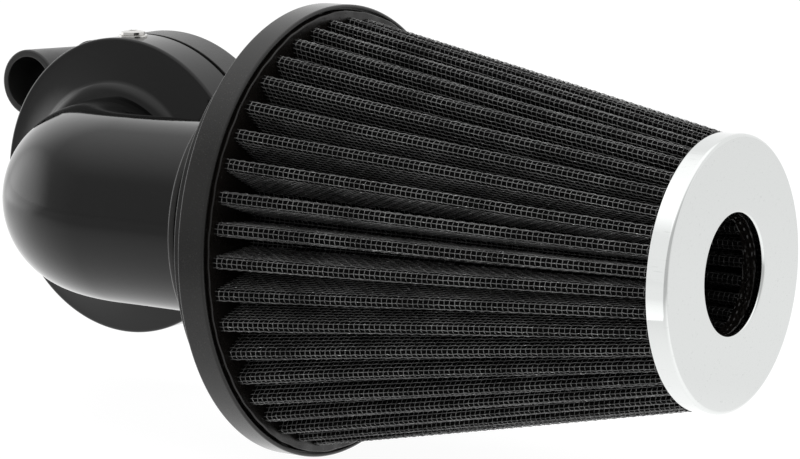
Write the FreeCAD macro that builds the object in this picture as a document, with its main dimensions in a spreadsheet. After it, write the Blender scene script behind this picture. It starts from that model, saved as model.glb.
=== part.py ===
"""A cone air filter on a right-angle intake elbow, carried by a round backing plate.

The origin is the centre of the throttle bore at the backing plate's rear face.
+Y points into the throttle, +X runs along the filter towards its chrome ring, +Z is up.
"""

import FreeCAD, Part
import math
import os
import re

import Sketcher

doc = FreeCAD.newDocument("air_filter")
sheet = doc.addObject("Spreadsheet::Sheet", "Sizes")

# Driving sizes in millimetres, angles in degrees, counts as whole numbers.
SIZES = (
    # backing plate and its pilot ring, which centres the elbow's skirt
    ("cup_depth", 14.85, "backing plate rim, rear face to seam"),
    ("plate_floor", 6.0, "thickness of the backing plate's floor"),
    ("pilot_wall", 3.5, "wall of the pilot ring"),
    ("pilot_clearance", 0.2, "gap round the pilot ring and at its end"),
    ("seam_chamfer", 0.45, "chamfer of the skirt's rear edge"),
    ("seam_gap", 1.6, "width of the slot in the plate's rim at the seam"),
    ("rear_rounding", 1.2, "rounding of the backing plate's rear rim"),
    ("throttle_bore", 27.0, "radius of the throttle bore"),
    ("throttle_seal_width", 2.4, "radial width of the throttle seal"),
    ("throttle_seal_depth", 2.0, "depth of the throttle seal's groove"),
    ("throttle_seal_land", 2.6, "metal between bore and seal"),
    # three screws into the throttle body
    ("throttle_screw_count", 3, "screws that hold the plate to the throttle body"),
    ("throttle_hole_land", 0.7, "metal between the seal's groove and their holes"),
    ("throttle_screw_radius", 3.0, "screw shank"),
    ("throttle_thread_radius", 2.8, "screw's thread, between crests and roots"),
    ("throttle_screw_reach", 16.0, "screw beyond the plate's rear face"),
    ("throttle_head_radius", 5.0, "cap screw head"),
    ("throttle_head_height", 6.0, "cap screw head"),
    ("throttle_socket_flats", 5.0, "hexagon socket across flats"),
    ("throttle_washer_radius", 5.9, "washer"),
    ("throttle_washer_thickness", 1.2, "washer"),
    ("washer_room", 1.35, "gap between these washers and the pilot ring"),
    ("bolt_clearance", 0.3, "radial gap round a bolt in its hole"),
    # two crankcase breather bosses
    ("boss_offset", 52.66, "breather boss axis from the plate's axis, sideways"),
    ("boss_height", 30.07, "breather boss axis above the plate's axis"),
    ("boss_wall", 2.54, "wall of a breather boss"),
    ("boss_reach", 24.0, "closed end, behind the rear face"),
    ("boss_floor", 6.0, "thickness of the closed end"),
    ("web_width", 16.0, "web that joins a boss to the plate"),
    ("breather_bolt_radius", 6.35, "hollow bolt shank"),
    ("breather_thread_radius", 6.1, "bolt's thread, between crests and roots"),
    ("breather_bolt_reach", 20.0, "bolt beyond the boss's seal"),
    ("breather_bolt_bore", 2.6, "gas passage along the bolt"),
    ("breather_head_step", 1.55, "bolt head beyond the shank, all round"),
    ("breather_head_height", 8.0, "bolt head"),
    ("breather_socket_flats", 8.0, "hexagon socket across flats"),
    ("breather_socket_depth", 5.0, "hexagon socket"),
    ("breather_washer_edge", 0.9, "washer beyond the head, all round"),
    ("breather_washer_gap", 0.3, "gap between washer and boss"),
    ("breather_washer_thickness", 1.6, "washer under the head"),
    ("breather_seal_thickness", 1.6, "seal on the boss's closed end"),
    # elbow: skirt, dome, bent tube, spigot
    ("skirt_depth", 14.5, "skirt, seam to front rim"),
    ("skirt_wall", 3.2, "wall of the skirt"),
    ("roof_wall", 3.0, "wall of the dome"),
    ("rim_rounding", 1.2, "rounding of the skirt's front rim"),
    ("dome_height", 6.24, "dome, front rim to root of the tube"),
    ("dome_curve", 46.0, "radius of the dome's gentle curve"),
    ("root_step", 1.32, "top of the flare beyond the tube, all round"),
    ("flare_width", 3.7, "radial width of the flare"),
    ("flare_height", 2.5, "height of the flare"),
    ("flare_curve", 6.5, "hollow radius of the flare"),
    ("tube_entry", 0.51, "bore of the bent tube beyond the throttle bore, all round"),
    ("tube_wall", 3.0, "wall of the bent tube"),
    ("bend_inside", 3.64, "inside radius of the tube's bend"),
    ("limb_sink", 0.54, "how far the level limb's rear side lies behind the dome's root"),
    ("spigot_step", 7.49, "outside of the spigot beyond the tube, all round"),
    ("spigot_wall", 3.0, "wall of the spigot"),
    ("spigot_taper", 11.5, "length of the cone that leads to the spigot"),
    # seal ring and cover screws between elbow and plate
    ("ring_seal_section", 0.85, "section radius of the seal ring"),
    ("ring_seal_place", 2.6, "seal ring in front of the seam"),
    ("seal_clearance", 0.05, "gap each side of the seal ring"),
    ("cover_screw_count", 3, "button head screws round the skirt"),
    ("cover_screw_radius", 2.4, "screw shank"),
    ("cover_screw_length", 8.6, "screw shank"),
    ("cover_head_radius", 4.1, "button head"),
    ("cover_head_height", 2.2, "button head"),
    ("cover_head_rim", 0.7, "straight rim of the button head"),
    ("cover_socket_flats", 2.6, "hexagon socket across flats"),
    ("cover_socket_depth", 1.5, "hexagon socket"),
    ("cover_washer_radius", 4.85, "washer"),
    ("cover_washer_thickness", 0.8, "washer"),
    ("cover_spot_depth", 0.3, "flat cut into the skirt under a washer"),
    ("thread_clearance", 0.1, "radial gap in a threaded hole"),
    # filter base, moulded in one piece
    ("neck_rear", 80.5, "rear end of the neck, from the origin"),
    ("neck_wall", 3.9, "wall of the neck under the clamp band"),
    ("bead_height", 1.3, "bead at the neck's rear end"),
    ("bead_width", 3.1, "bead at the neck's rear end"),
    ("pedestal_step", 8.0, "flange beyond the step behind it, all round"),
    ("pedestal_length", 7.6, "step behind the flange"),
    ("flange_radius", 70.0, "flange"),
    ("flange_width", 9.3, "flange"),
    ("flange_rounding", 0.6, "rounding of the flange's edges"),
    ("flange_lip", 1.1, "outer wall of the potting channel"),
    ("channel_depth", 4.0, "potting channel"),
    ("dam_gap", 1.6, "potting between the pleats and the channel's inner wall"),
    ("dam_wall", 2.2, "inner wall of the potting channel"),
    ("throat_lip", 0.4, "stop inside the neck, inwards of the spigot's bore"),
    ("throat_width", 3.4, "stop inside the neck"),
    ("sleeve_clearance", 0.3, "gap between neck and spigot, round and at the stop"),
    ("groove_width", 0.8, "open groove between potting and flange"),
    ("groove_depth", 2.2, "open groove between potting and flange"),
    ("potting_rise", 0.9, "base potting above the flange's edge"),
    ("potting_rounding", 0.7, "rounding of the base potting"),
    # pleated cone
    ("pleat_count", 42, "pleats of the outer cone"),
    ("media_length", 129.84, "outer cone, base potting to chrome ring"),
    ("crest_margin", 1.8, "base potting beyond the crests"),
    ("ring_overhang", 0.4, "chrome ring beyond the crests"),
    ("pleat_depth", 18.5, "pleat depth at the base"),
    ("crest_width", 4.2, "crest width at the base"),
    ("crest_camber", 0.5, "rounding height of a crest"),
    ("valley_width", 1.6, "valley width at the base"),
    ("media_thickness", 1.1, "gauze at the base"),
    ("screen_thickness", 0.35, "wire screen at the base"),
    # chrome ring and end potting
    ("ring_radius", 40.4, "chrome ring"),
    ("ring_depth", 6.6, "chrome ring"),
    ("ring_wall", 1.1, "side wall of the chrome ring"),
    ("ring_face", 2.7, "face of the chrome ring"),
    ("ring_rounding", 1.1, "rounding of the ring's front edge"),
    ("mouth_radius", 17.66, "hole in the chrome ring"),
    ("mouth_rounding", 0.9, "rounding of the hole's edge"),
    ("mouth_step", 0.24, "inside of the end potting beyond the hole, all round"),
    ("collar_gap", 0.45, "gap between end potting collar and outer pleats"),
    ("collar_depth", 0.6, "end potting collar behind the ring"),
    # inverted inner cone
    ("inner_count", 22, "pleats of the inner cone"),
    ("inner_length", 92.0, "inner cone"),
    ("collar_edge", 1.4, "end potting collar beyond the inner pleats"),
    ("inner_taper", 0.64, "small end as a share of the mouth end"),
    ("inner_crest_width", 3.0, "crest width at the mouth"),
    ("inner_valley_width", 1.6, "valley width at the mouth"),
    ("inner_thickness", 0.9, "gauze at the mouth"),
    ("inner_screen_thickness", 0.3, "wire screen at the mouth"),
    ("end_cap_thickness", 5.0, "moulded cap on the small end"),
    ("end_cap_lip", 1.4, "cap beyond the pleats"),
    # worm drive clamp
    ("band_thickness", 0.8, "clamp band"),
    ("band_width", 12.2, "clamp band"),
    ("band_gap", 0.7, "gap between bead and band"),
    ("band_spare", 1.2, "neck between band and pedestal"),
    ("worm_radius", 3.1, "worm of the clamp screw"),
    ("worm_clearance", 0.1, "radial gap round the worm"),
    ("housing_length", 15.0, "clamp housing along the screw"),
    ("housing_height", 9.4, "clamp housing, outwards from the band"),
    ("housing_saddle", 2.0, "depth of the housing's saddle over the band"),
    ("housing_width", 11.0, "clamp housing along the filter"),
    ("screw_head_radius", 4.0, "hexagon head over its corners"),
    ("screw_head_height", 4.6, "hexagon head"),
    ("worm_end_gap", 0.3, "gap under the clamp screw's head"),
    ("screw_end", 1.5, "worm beyond the housing's far end"),
    ("screw_slot_width", 1.0, "driver slot"),
    ("screw_slot_depth", 1.4, "driver slot"),
)

for row, (alias, amount, note) in enumerate(SIZES, 1):
    sheet.set(f"A{row}", note)
    sheet.set(f"B{row}", str(amount))
    sheet.setAlias(f"B{row}", alias)
doc.recompute()
SHEET_WORDS = {alias: f"Sizes.{alias}" for alias, _, _ in SIZES}

# Radii about the plate's axis, outwards from the throttle bore.
THROTTLE_SEAL_INSIDE = "(throttle_bore + throttle_seal_land)"
THROTTLE_SEAL_OUTSIDE = f"({THROTTLE_SEAL_INSIDE} + throttle_seal_width)"
THROTTLE_HOLE = "(throttle_screw_radius + bolt_clearance)"
THROTTLE_PITCH = f"({THROTTLE_SEAL_OUTSIDE} + throttle_hole_land + {THROTTLE_HOLE})"
PILOT_INSIDE = f"({THROTTLE_PITCH} + throttle_washer_radius + washer_room)"
PILOT = f"({PILOT_INSIDE} + pilot_wall)"
SKIRT_BORE = f"({PILOT} + pilot_clearance)"
PLATE = f"({SKIRT_BORE} + skirt_wall)"
SPOT = f"({PLATE} - cover_spot_depth)"
COVER_HEAD_SEAT = f"({SPOT} + cover_washer_thickness)"
CROWN = "(cover_head_height - cover_head_rim)"
CROWN_CURVE = f"((cover_head_radius^2 + {CROWN}^2) / (2 * {CROWN}))"

# Radii of a breather boss, outwards from the bolt's shank.
BREATHER_HEAD = "(breather_bolt_radius + breather_head_step)"
BREATHER_WASHER = f"({BREATHER_HEAD} + breather_washer_edge)"
BOSS_BORE = f"({BREATHER_WASHER} + breather_washer_gap)"
BOSS = f"({BOSS_BORE} + boss_wall)"

# Radii of the elbow's tube, and of the filter's neck on its spigot.
TUBE_BORE = "(throttle_bore + tube_entry)"
TUBE = f"({TUBE_BORE} + tube_wall)"
FLARE_TOP = f"({TUBE} + root_step)"
FLARE_FOOT = f"({FLARE_TOP} + flare_width)"
BEND = f"({TUBE} + bend_inside)"
SPIGOT = f"({TUBE} + spigot_step)"
SPIGOT_BORE = f"({SPIGOT} - spigot_wall)"
THROAT = f"({SPIGOT_BORE} - throat_lip)"
NECK_BORE = f"({SPIGOT} + sleeve_clearance)"
NECK = f"({NECK_BORE} + neck_wall)"
BEAD = f"({NECK} + bead_height)"
BAND_OUTSIDE = f"({NECK} + band_thickness)"
WORM_LINE = f"({BAND_OUTSIDE} + housing_height / 2)"
WORM_BORE = "(worm_radius + worm_clearance)"

# Radii of the cone, inwards from the flange and from the chrome ring.
PEDESTAL = "(flange_radius - pedestal_step)"
CHANNEL = "(flange_radius - flange_lip)"
POTTING = f"({CHANNEL} - groove_width)"
CREST_BASE = f"({POTTING} - crest_margin)"
CREST_TIP = "(ring_radius - ring_overhang)"
SHRINK = f"({CREST_TIP} / {CREST_BASE})"
VALLEY_BASE = f"({CREST_BASE} - pleat_depth)"
STACK = "(2 * screen_thickness + media_thickness)"
DAM = f"({VALLEY_BASE} - {STACK} - dam_gap)"
RING_BORE = "(ring_radius - ring_wall)"
COLLAR = f"(({VALLEY_BASE} - {STACK}) * {SHRINK} - collar_gap)"
COLLAR_BORE = "(mouth_radius + mouth_step)"
INNER_REACH = f"({COLLAR} - collar_edge)"

# Planes across the plate's axis, and the filter's axis in front of the rear face.
SEAM = "-cup_depth"
RIM = "-(cup_depth + skirt_depth)"
ROOT = "-(cup_depth + skirt_depth + dome_height)"
AXIS_DEPTH = f"(cup_depth + skirt_depth + dome_height + {TUBE} - limb_sink)"
PILOT_END = "(roof_wall + pilot_clearance - cup_depth - skirt_depth)"
COVER_SCREW_LINE = "-(cup_depth + skirt_depth / 2)"
THROTTLE_HEAD_SEAT = "(-plate_floor - throttle_washer_thickness)"
BOSS_SEAT = "(boss_reach - boss_floor)"
BREATHER_HEAD_SEAT = f"({BOSS_SEAT} - breather_washer_thickness)"
BREATHER_THREAD_START = "(boss_reach + breather_seal_thickness)"
BREATHER_BOLT_END = f"({BREATHER_THREAD_START} + breather_bolt_reach)"

# Planes across the filter's axis.
BAND_REAR = "(neck_rear + bead_width + band_gap)"
CLAMP_MIDDLE = f"({BAND_REAR} + band_width / 2)"
PEDESTAL_REAR = f"({BAND_REAR} + band_width + band_spare)"
FLANGE_REAR = f"({PEDESTAL_REAR} + pedestal_length)"
FLANGE_FRONT = f"({FLANGE_REAR} + flange_width)"
CHANNEL_FLOOR = f"({FLANGE_FRONT} - channel_depth)"
MEDIA_BASE = f"({FLANGE_FRONT} + potting_rise)"
MEDIA_TIP = f"({MEDIA_BASE} + media_length)"
RING_FRONT = f"({MEDIA_TIP} + ring_depth)"
RING_BACK_FACE = f"({RING_FRONT} - ring_face)"
COLLAR_REAR = f"({MEDIA_TIP} - collar_depth)"
INNER_TIP = f"({COLLAR_REAR} - inner_length)"
STOP = f"({FLANGE_REAR} - throat_width / 2)"
SPIGOT_END = f"({STOP} - sleeve_clearance)"
SPIGOT_START = "(neck_rear - sleeve_clearance)"
TAPER_START = f"({SPIGOT_START} - spigot_taper)"

TURN_TO_FILTER_AXIS = FreeCAD.Rotation(FreeCAD.Vector(0, 1, 0), 90)
TURN_TO_THROTTLE = FreeCAD.Rotation(FreeCAD.Vector(1, 0, 0), -90)
TURN_TO_PLATE_AXIS = FreeCAD.Rotation(FreeCAD.Vector(1, 0, 0), 90)


def bound(text):
    """The text as a FreeCAD expression, with each size read from the sheet."""
    return re.sub(r"[a-z_]+", lambda word: SHEET_WORDS.get(word.group(), word.group()), text)


def value(text):
    """What the text comes to with the sheet's present sizes."""
    return float(sheet.evalExpression(bound(text)))


def body(label, along=None, height=None):
    """An empty body, with its own origin moved along Y or Z from the plate's."""
    made = doc.addObject("PartDesign::Body", label)
    if along:
        made.setExpression("Placement.Base.y", bound(along))
    if height:
        made.setExpression("Placement.Base.z", bound(height))
    return made


def origin_item(owner, role):
    """One plane or axis of a body's own origin."""
    return next(item for item in owner.Origin.OriginFeatures if item.Role == role)


def sketch(owner, name, plane, lift=None):
    """An empty sketch on an origin plane, lifted along the plane's normal."""
    drawing = owner.newObject("Sketcher::SketchObject", name)
    drawing.AttachmentSupport = [(origin_item(owner, plane), "")]
    drawing.MapMode = "FlatFace"
    if lift:
        drawing.setExpression("AttachmentOffset.Base.z", bound(lift))
    return drawing


def dimension(drawing, kind, place, text):
    """A sketch dimension that follows the sheet."""
    index = drawing.addConstraint(Sketcher.Constraint(kind, *place, value(text)))
    drawing.setExpression(f"Constraints[{index}]", bound(text))


def arc_between(start, end, radius):
    """The counter-clockwise short arc; a negative radius bulges to the right of start to end."""
    chord = end - start
    half = chord.Length / 2
    middle = (start + end) * 0.5
    side = FreeCAD.Vector(-chord.y, chord.x, 0).normalize()
    reach = math.sqrt(max(radius * radius - half * half, 0.0))
    centre = middle + side * (reach if radius < 0 else -reach)
    first, last = (start, end) if radius < 0 else (end, start)
    begin = math.atan2(first.y - centre.y, first.x - centre.x)
    finish = math.atan2(last.y - centre.y, last.x - centre.x)
    if finish < begin:
        finish += 2 * math.pi
    circle = Part.Circle(centre, FreeCAD.Vector(0, 0, 1), abs(radius))
    return Part.ArcOfCircle(circle, begin, finish)


def outline(drawing, corners, arcs=None):
    """A closed outline; arcs gives a radius for the side that leaves a corner.

    A positive radius bulges to the left of the way from this corner to the next.
    """
    arcs = arcs or {}
    points = [FreeCAD.Vector(value(across), value(along), 0) for across, along in corners]
    ends = []
    for index, start in enumerate(points):
        end = points[(index + 1) % len(points)]
        if index in arcs:
            bulge = value(arcs[index])
            geometry = drawing.addGeometry(arc_between(start, end, bulge), False)
            ends.append((geometry, 1, 2) if bulge < 0 else (geometry, 2, 1))
        else:
            geometry = drawing.addGeometry(Part.LineSegment(start, end), False)
            ends.append((geometry, 1, 2))
    for index, (geometry, first, last) in enumerate(ends):
        following, opening, _ = ends[(index + 1) % len(ends)]
        drawing.addConstraint(Sketcher.Constraint("Coincident", geometry, last, following, opening))
        across, along = corners[index]
        dimension(drawing, "DistanceX", (geometry, first), across)
        dimension(drawing, "DistanceY", (geometry, first), along)
        if index in arcs:
            dimension(drawing, "Radius", (geometry,), arcs[index].lstrip("-"))


def axis_line(drawing, centre, level):
    """A construction line to turn about: upright at centre, or lying at level."""
    foot = FreeCAD.Vector(value(centre or "0"), value(level or "0"), 0)
    step = FreeCAD.Vector(1, 0, 0) if level else FreeCAD.Vector(0, 1, 0)
    line = drawing.addGeometry(Part.LineSegment(foot, foot + step), True)
    drawing.addConstraint(Sketcher.Constraint("Horizontal" if level else "Vertical", line))
    dimension(drawing, "DistanceX", (line, 1), centre or "0")
    dimension(drawing, "DistanceY", (line, 1), level or "0")
    drawing.addConstraint(Sketcher.Constraint("Distance", line, 1.0))


def turned(owner, name, corners, arcs=None, plane="XY_Plane", axis="V_Axis", centre=None,
           level=None, lift=None, cut=False):
    """A revolved outline of (across, along) corners.

    It turns about the sketch's own axis, about an upright line at centre, or about a lying
    line at level; corners are then measured from that line.
    """
    drawing = sketch(owner, name + "_outline", plane, lift)
    if centre or level:
        axis_line(drawing, centre, level)
        axis = "Axis0"
    if centre:
        corners = [(f"{centre} + ({across})", along) for across, along in corners]
    if level:
        corners = [(across, f"{level} + ({along})") for across, along in corners]
    outline(drawing, corners, arcs)
    kind = "PartDesign::Groove" if cut else "PartDesign::Revolution"
    feature = owner.newObject(kind, name)
    feature.Profile = drawing
    feature.ReferenceAxis = (drawing, [axis])
    feature.Angle = 360
    return feature


def ring(owner, name, inside, outside, low, high, **options):
    """A plain ring or disc between two radii, turned about an upright axis."""
    corners = [(inside, low), (outside, low), (outside, high), (inside, high)]
    return turned(owner, name, corners, **options)


def hoop(owner, name, inside, outside, rear, front):
    """A plain ring or disc between two radii, turned about the filter's axis."""
    corners = [(rear, inside), (front, inside), (front, outside), (rear, outside)]
    return turned(owner, name, corners, axis="H_Axis")


def pipe(owner, name, route, radius, kind):
    """A round pipe along the route, which starts at the seam and points away from the plate."""
    drawing = sketch(owner, name + "_circle", "XZ_Plane", "cup_depth")
    circle = Part.Circle(FreeCAD.Vector(0, 0, 0), FreeCAD.Vector(0, 0, 1), value(radius))
    drawing.addGeometry(circle, False)
    drawing.addConstraint(Sketcher.Constraint("Coincident", 0, 3, -1, 1))
    dimension(drawing, "Radius", (0,), radius)
    feature = owner.newObject(kind, name)
    feature.Profile = drawing
    feature.Spine = (route, [])
    return feature


def round_array(owner, features, count):
    """Copies of features round the plate's axis."""
    array = owner.newObject("PartDesign::PolarPattern", features[0].Name + "_array")
    array.Originals = features
    array.Axis = (origin_item(owner, "Y_Axis"), [""])
    array.Angle = 360
    array.setExpression("Occurrences", bound(count))
    owner.Tip = array
    return array


def mirrored(owner, features):
    """The same features on the plate's other side."""
    copy = owner.newObject("PartDesign::Mirrored", features[0].Name + "_mirrored")
    copy.Originals = features
    copy.MirrorPlane = (origin_item(owner, "YZ_Plane"), [""])
    owner.Tip = copy
    return copy


def hexagon_socket(owner, name, plane, lift, centre, flats, depth):
    """A hexagon pocket from a lifted origin plane, against its normal."""
    drawing = sketch(owner, name + "_outline", plane, lift)
    middle = FreeCAD.Vector(value(centre), 0, 0)
    reach = value(flats) / math.sqrt(3)
    corners = [middle + FreeCAD.Vector(math.cos(turn), math.sin(turn), 0) * reach
               for turn in (math.radians(60 * step) for step in range(6))]
    for step in range(6):
        drawing.addGeometry(Part.LineSegment(corners[step], corners[(step + 1) % 6]), False)
    guide = drawing.addGeometry(
        Part.Circle(middle, FreeCAD.Vector(0, 0, 1), reach), True)
    for step in range(6):
        drawing.addConstraint(Sketcher.Constraint("Coincident", step, 2, (step + 1) % 6, 1))
        drawing.addConstraint(Sketcher.Constraint("PointOnObject", step, 1, guide))
        if step:
            drawing.addConstraint(Sketcher.Constraint("Equal", 0, step))
    dimension(drawing, "Radius", (guide,), f"{flats} / sqrt(3)")
    dimension(drawing, "DistanceX", (guide, 3), centre)
    drawing.addConstraint(Sketcher.Constraint("PointOnObject", guide, 3, -1))
    drawing.addConstraint(Sketcher.Constraint("PointOnObject", 0, 1, -1))
    feature = owner.newObject("PartDesign::Pocket", name)
    feature.Profile = drawing
    feature.setExpression("Length", bound(depth))
    return feature


def backing_plate():
    """A cup with a floor, a pilot ring and a web that carries the two breather bosses."""
    plate = body("backing_plate")
    turned(plate, "cup", [
        ("0", "0"),
        (f"{PLATE} - rear_rounding", "0"),
        (PLATE, "-rear_rounding"),
        (PLATE, f"{SEAM} + seam_gap"),
        (f"{PLATE} - skirt_wall / 2", f"{SEAM} + seam_gap"),
        (f"{PLATE} - skirt_wall / 2", SEAM),
        (PILOT, SEAM),
        (PILOT, PILOT_END),
        (PILOT_INSIDE, PILOT_END),
        (PILOT_INSIDE, "-plate_floor"),
        ("0", "-plate_floor"),
    ], arcs={1: "rear_rounding"})
    web_drawing = sketch(plate, "web_outline", "XZ_Plane")
    outline(web_drawing, [
        ("-boss_offset", "boss_height - web_width / 2"),
        ("boss_offset", "boss_height - web_width / 2"),
        ("boss_offset", "boss_height + web_width / 2"),
        ("-boss_offset", "boss_height + web_width / 2"),
    ])
    web = plate.newObject("PartDesign::Pad", "web")
    web.Profile = web_drawing
    web.setExpression("Length", bound("plate_floor"))
    boss_place = ring(plate, "boss_place", "0", BOSS, SEAM, "boss_reach",
                      centre="boss_offset", lift="boss_height", cut=True)
    mirrored(plate, [boss_place])
    ring(plate, "bore", "0", "throttle_bore", "0", "-plate_floor", cut=True)
    ring(plate, "rear_groove", THROTTLE_SEAL_INSIDE, THROTTLE_SEAL_OUTSIDE,
         "-throttle_seal_depth", "0", cut=True)
    groove_half = "(ring_seal_section + 4 * seal_clearance)"
    ring(plate, "ring_seal_groove",
         f"{SKIRT_BORE} - 2 * (ring_seal_section + seal_clearance)", PILOT,
         f"{SEAM} - ring_seal_place - {groove_half}",
         f"{SEAM} - ring_seal_place + {groove_half}", cut=True)
    screw_hole = ring(plate, "throttle_hole", "0", THROTTLE_HOLE, "0", "-plate_floor",
                      centre=THROTTLE_PITCH, cut=True)
    round_array(plate, [screw_hole], "throttle_screw_count")
    tapped_hole = ring(plate, "tapped_hole", "0", "cover_screw_radius + thread_clearance",
                       f"{PILOT_INSIDE} - 1", PLATE, plane="YZ_Plane",
                       centre=COVER_SCREW_LINE, cut=True)
    round_array(plate, [tapped_hole], "cover_screw_count")
    return plate


def breather_bosses():
    """A hollow boss each side of the plate, with a seat for its bolt near the closed end."""
    bosses = body("breather_bosses", height="boss_height")
    boss = turned(bosses, "breather_boss", [
        (BOSS_BORE, SEAM),
        (BOSS, SEAM),
        (BOSS, "boss_reach"),
        ("breather_bolt_radius + bolt_clearance", "boss_reach"),
        ("breather_bolt_radius + bolt_clearance", BOSS_SEAT),
        (BOSS_BORE, BOSS_SEAT),
    ], centre="boss_offset")
    mirrored(bosses, [boss])
    return bosses


def elbow():
    """Skirt, dome, bent tube and spigot in one casting, hollow from the skirt to the spigot."""
    casting = body("elbow")
    turned(casting, "dome", [
        ("0", SEAM),
        (f"{PLATE} - seam_chamfer", SEAM),
        (PLATE, f"{SEAM} - seam_chamfer"),
        (PLATE, f"{RIM} + rim_rounding"),
        (f"{PLATE} - rim_rounding", RIM),
        (FLARE_FOOT, f"{ROOT} + flare_height"),
        (FLARE_TOP, ROOT),
        ("0", ROOT),
    ], arcs={3: "rim_rounding", 4: "dome_curve", 5: "-flare_curve"})
    route = sketch(casting, "route", "XY_Plane")
    bend_start = FreeCAD.Vector(0, value(f"{BEND} - {AXIS_DEPTH}"), 0)
    bend_end = FreeCAD.Vector(value(BEND), value(f"-{AXIS_DEPTH}"), 0)
    route.addGeometry(Part.LineSegment(FreeCAD.Vector(0, value(SEAM), 0), bend_start), False)
    route.addGeometry(arc_between(bend_start, bend_end, -value(BEND)), False)
    route_end = FreeCAD.Vector(value(SPIGOT_END), value(f"-{AXIS_DEPTH}"), 0)
    route.addGeometry(Part.LineSegment(bend_end, route_end), False)
    route.addConstraint(Sketcher.Constraint("Coincident", 0, 2, 1, 1))
    route.addConstraint(Sketcher.Constraint("Coincident", 1, 2, 2, 1))
    dimension(route, "DistanceX", (0, 1), "0")
    dimension(route, "DistanceY", (0, 1), SEAM)
    dimension(route, "DistanceX", (0, 2), "0")
    dimension(route, "DistanceY", (0, 2), f"{BEND} - {AXIS_DEPTH}")
    dimension(route, "Radius", (1,), BEND)
    dimension(route, "DistanceX", (1, 2), BEND)
    dimension(route, "DistanceY", (1, 2), f"-{AXIS_DEPTH}")
    dimension(route, "DistanceX", (2, 2), SPIGOT_END)
    dimension(route, "DistanceY", (2, 2), f"-{AXIS_DEPTH}")
    pipe(casting, "tube", route, TUBE, "PartDesign::AdditivePipe")
    turned(casting, "spigot", [
        (TAPER_START, "0"),
        (SPIGOT_END, "0"),
        (SPIGOT_END, SPIGOT),
        (SPIGOT_START, SPIGOT),
        (TAPER_START, TUBE),
    ], level=f"-{AXIS_DEPTH}")
    turned(casting, "skirt_hollow", [
        ("0", SEAM),
        (SKIRT_BORE, SEAM),
        (SKIRT_BORE, f"{RIM} + roof_wall"),
        (FLARE_TOP, f"{ROOT} + roof_wall"),
        ("0", f"{ROOT} + roof_wall"),
    ], cut=True)
    pipe(casting, "passage", route, TUBE_BORE, "PartDesign::SubtractivePipe")
    turned(casting, "bell", [
        (TAPER_START, "0"),
        (SPIGOT_END, "0"),
        (SPIGOT_END, SPIGOT_BORE),
        (SPIGOT_START, SPIGOT_BORE),
        (TAPER_START, TUBE_BORE),
    ], level=f"-{AXIS_DEPTH}", cut=True)
    screw_seat = turned(casting, "screw_seat", [
        ("0", f"{SKIRT_BORE} - 1"),
        ("cover_screw_radius + bolt_clearance", f"{SKIRT_BORE} - 1"),
        ("cover_screw_radius + bolt_clearance", SPOT),
        ("cover_washer_radius + bolt_clearance", SPOT),
        ("cover_washer_radius + bolt_clearance", f"{PLATE} + 1"),
        ("0", f"{PLATE} + 1"),
    ], plane="YZ_Plane", centre=COVER_SCREW_LINE, cut=True)
    round_array(casting, [screw_seat], "cover_screw_count")
    return casting


def throttle_fasteners():
    """Seal in the plate's rear groove, and three cap screws with washers inside the cup."""
    seal = body("throttle_seal")
    ring(seal, "throttle_seal_ring", THROTTLE_SEAL_INSIDE, THROTTLE_SEAL_OUTSIDE,
         "-throttle_seal_depth", "0")
    washers = body("throttle_screw_washers")
    washer = ring(washers, "throttle_washer", THROTTLE_HOLE, "throttle_washer_radius",
                  THROTTLE_HEAD_SEAT, "-plate_floor", centre=THROTTLE_PITCH)
    round_array(washers, [washer], "throttle_screw_count")
    screws = body("throttle_screws")
    screw = turned(screws, "throttle_screw", [
        ("0", f"{THROTTLE_HEAD_SEAT} - throttle_head_height"),
        ("throttle_head_radius", f"{THROTTLE_HEAD_SEAT} - throttle_head_height"),
        ("throttle_head_radius", THROTTLE_HEAD_SEAT),
        ("throttle_screw_radius", THROTTLE_HEAD_SEAT),
        ("throttle_screw_radius", "0"),
        ("throttle_thread_radius", "0"),
        ("throttle_thread_radius", "throttle_screw_reach"),
        ("0", "throttle_screw_reach"),
    ], centre=THROTTLE_PITCH)
    socket = hexagon_socket(screws, "throttle_socket", "XZ_Plane",
                            f"throttle_head_height - {THROTTLE_HEAD_SEAT}",
                            THROTTLE_PITCH, "throttle_socket_flats",
                            "throttle_head_height / 2")
    round_array(screws, [screw, socket], "throttle_screw_count")
    return [seal, washers, screws]


def breather_fasteners():
    """Hollow bolts that pass the crankcase's breath, with washers and end seals."""
    washers = body("breather_washers", height="boss_height")
    washer = ring(washers, "breather_washer", "breather_bolt_radius + bolt_clearance",
                  BREATHER_WASHER, BREATHER_HEAD_SEAT, BOSS_SEAT,
                  centre="boss_offset")
    mirrored(washers, [washer])
    seals = body("breather_seals", height="boss_height")
    seal = ring(seals, "breather_seal", "breather_bolt_radius + bolt_clearance",
                BOSS, "boss_reach", BREATHER_THREAD_START,
                centre="boss_offset")
    mirrored(seals, [seal])
    bolts = body("breather_bolts", height="boss_height")
    bolt = turned(bolts, "breather_bolt", [
        ("breather_bolt_bore", f"{BREATHER_HEAD_SEAT} - breather_head_height"),
        (BREATHER_HEAD, f"{BREATHER_HEAD_SEAT} - breather_head_height"),
        (BREATHER_HEAD, BREATHER_HEAD_SEAT),
        ("breather_bolt_radius", BREATHER_HEAD_SEAT),
        ("breather_bolt_radius", BREATHER_THREAD_START),
        ("breather_thread_radius", BREATHER_THREAD_START),
        ("breather_thread_radius", BREATHER_BOLT_END),
        ("breather_bolt_bore", BREATHER_BOLT_END),
    ], centre="boss_offset")
    socket = hexagon_socket(bolts, "breather_socket", "XZ_Plane",
                            f"breather_head_height - {BREATHER_HEAD_SEAT}",
                            "boss_offset", "breather_socket_flats", "breather_socket_depth")
    mirrored(bolts, [bolt, socket])
    return [washers, seals, bolts]


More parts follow.
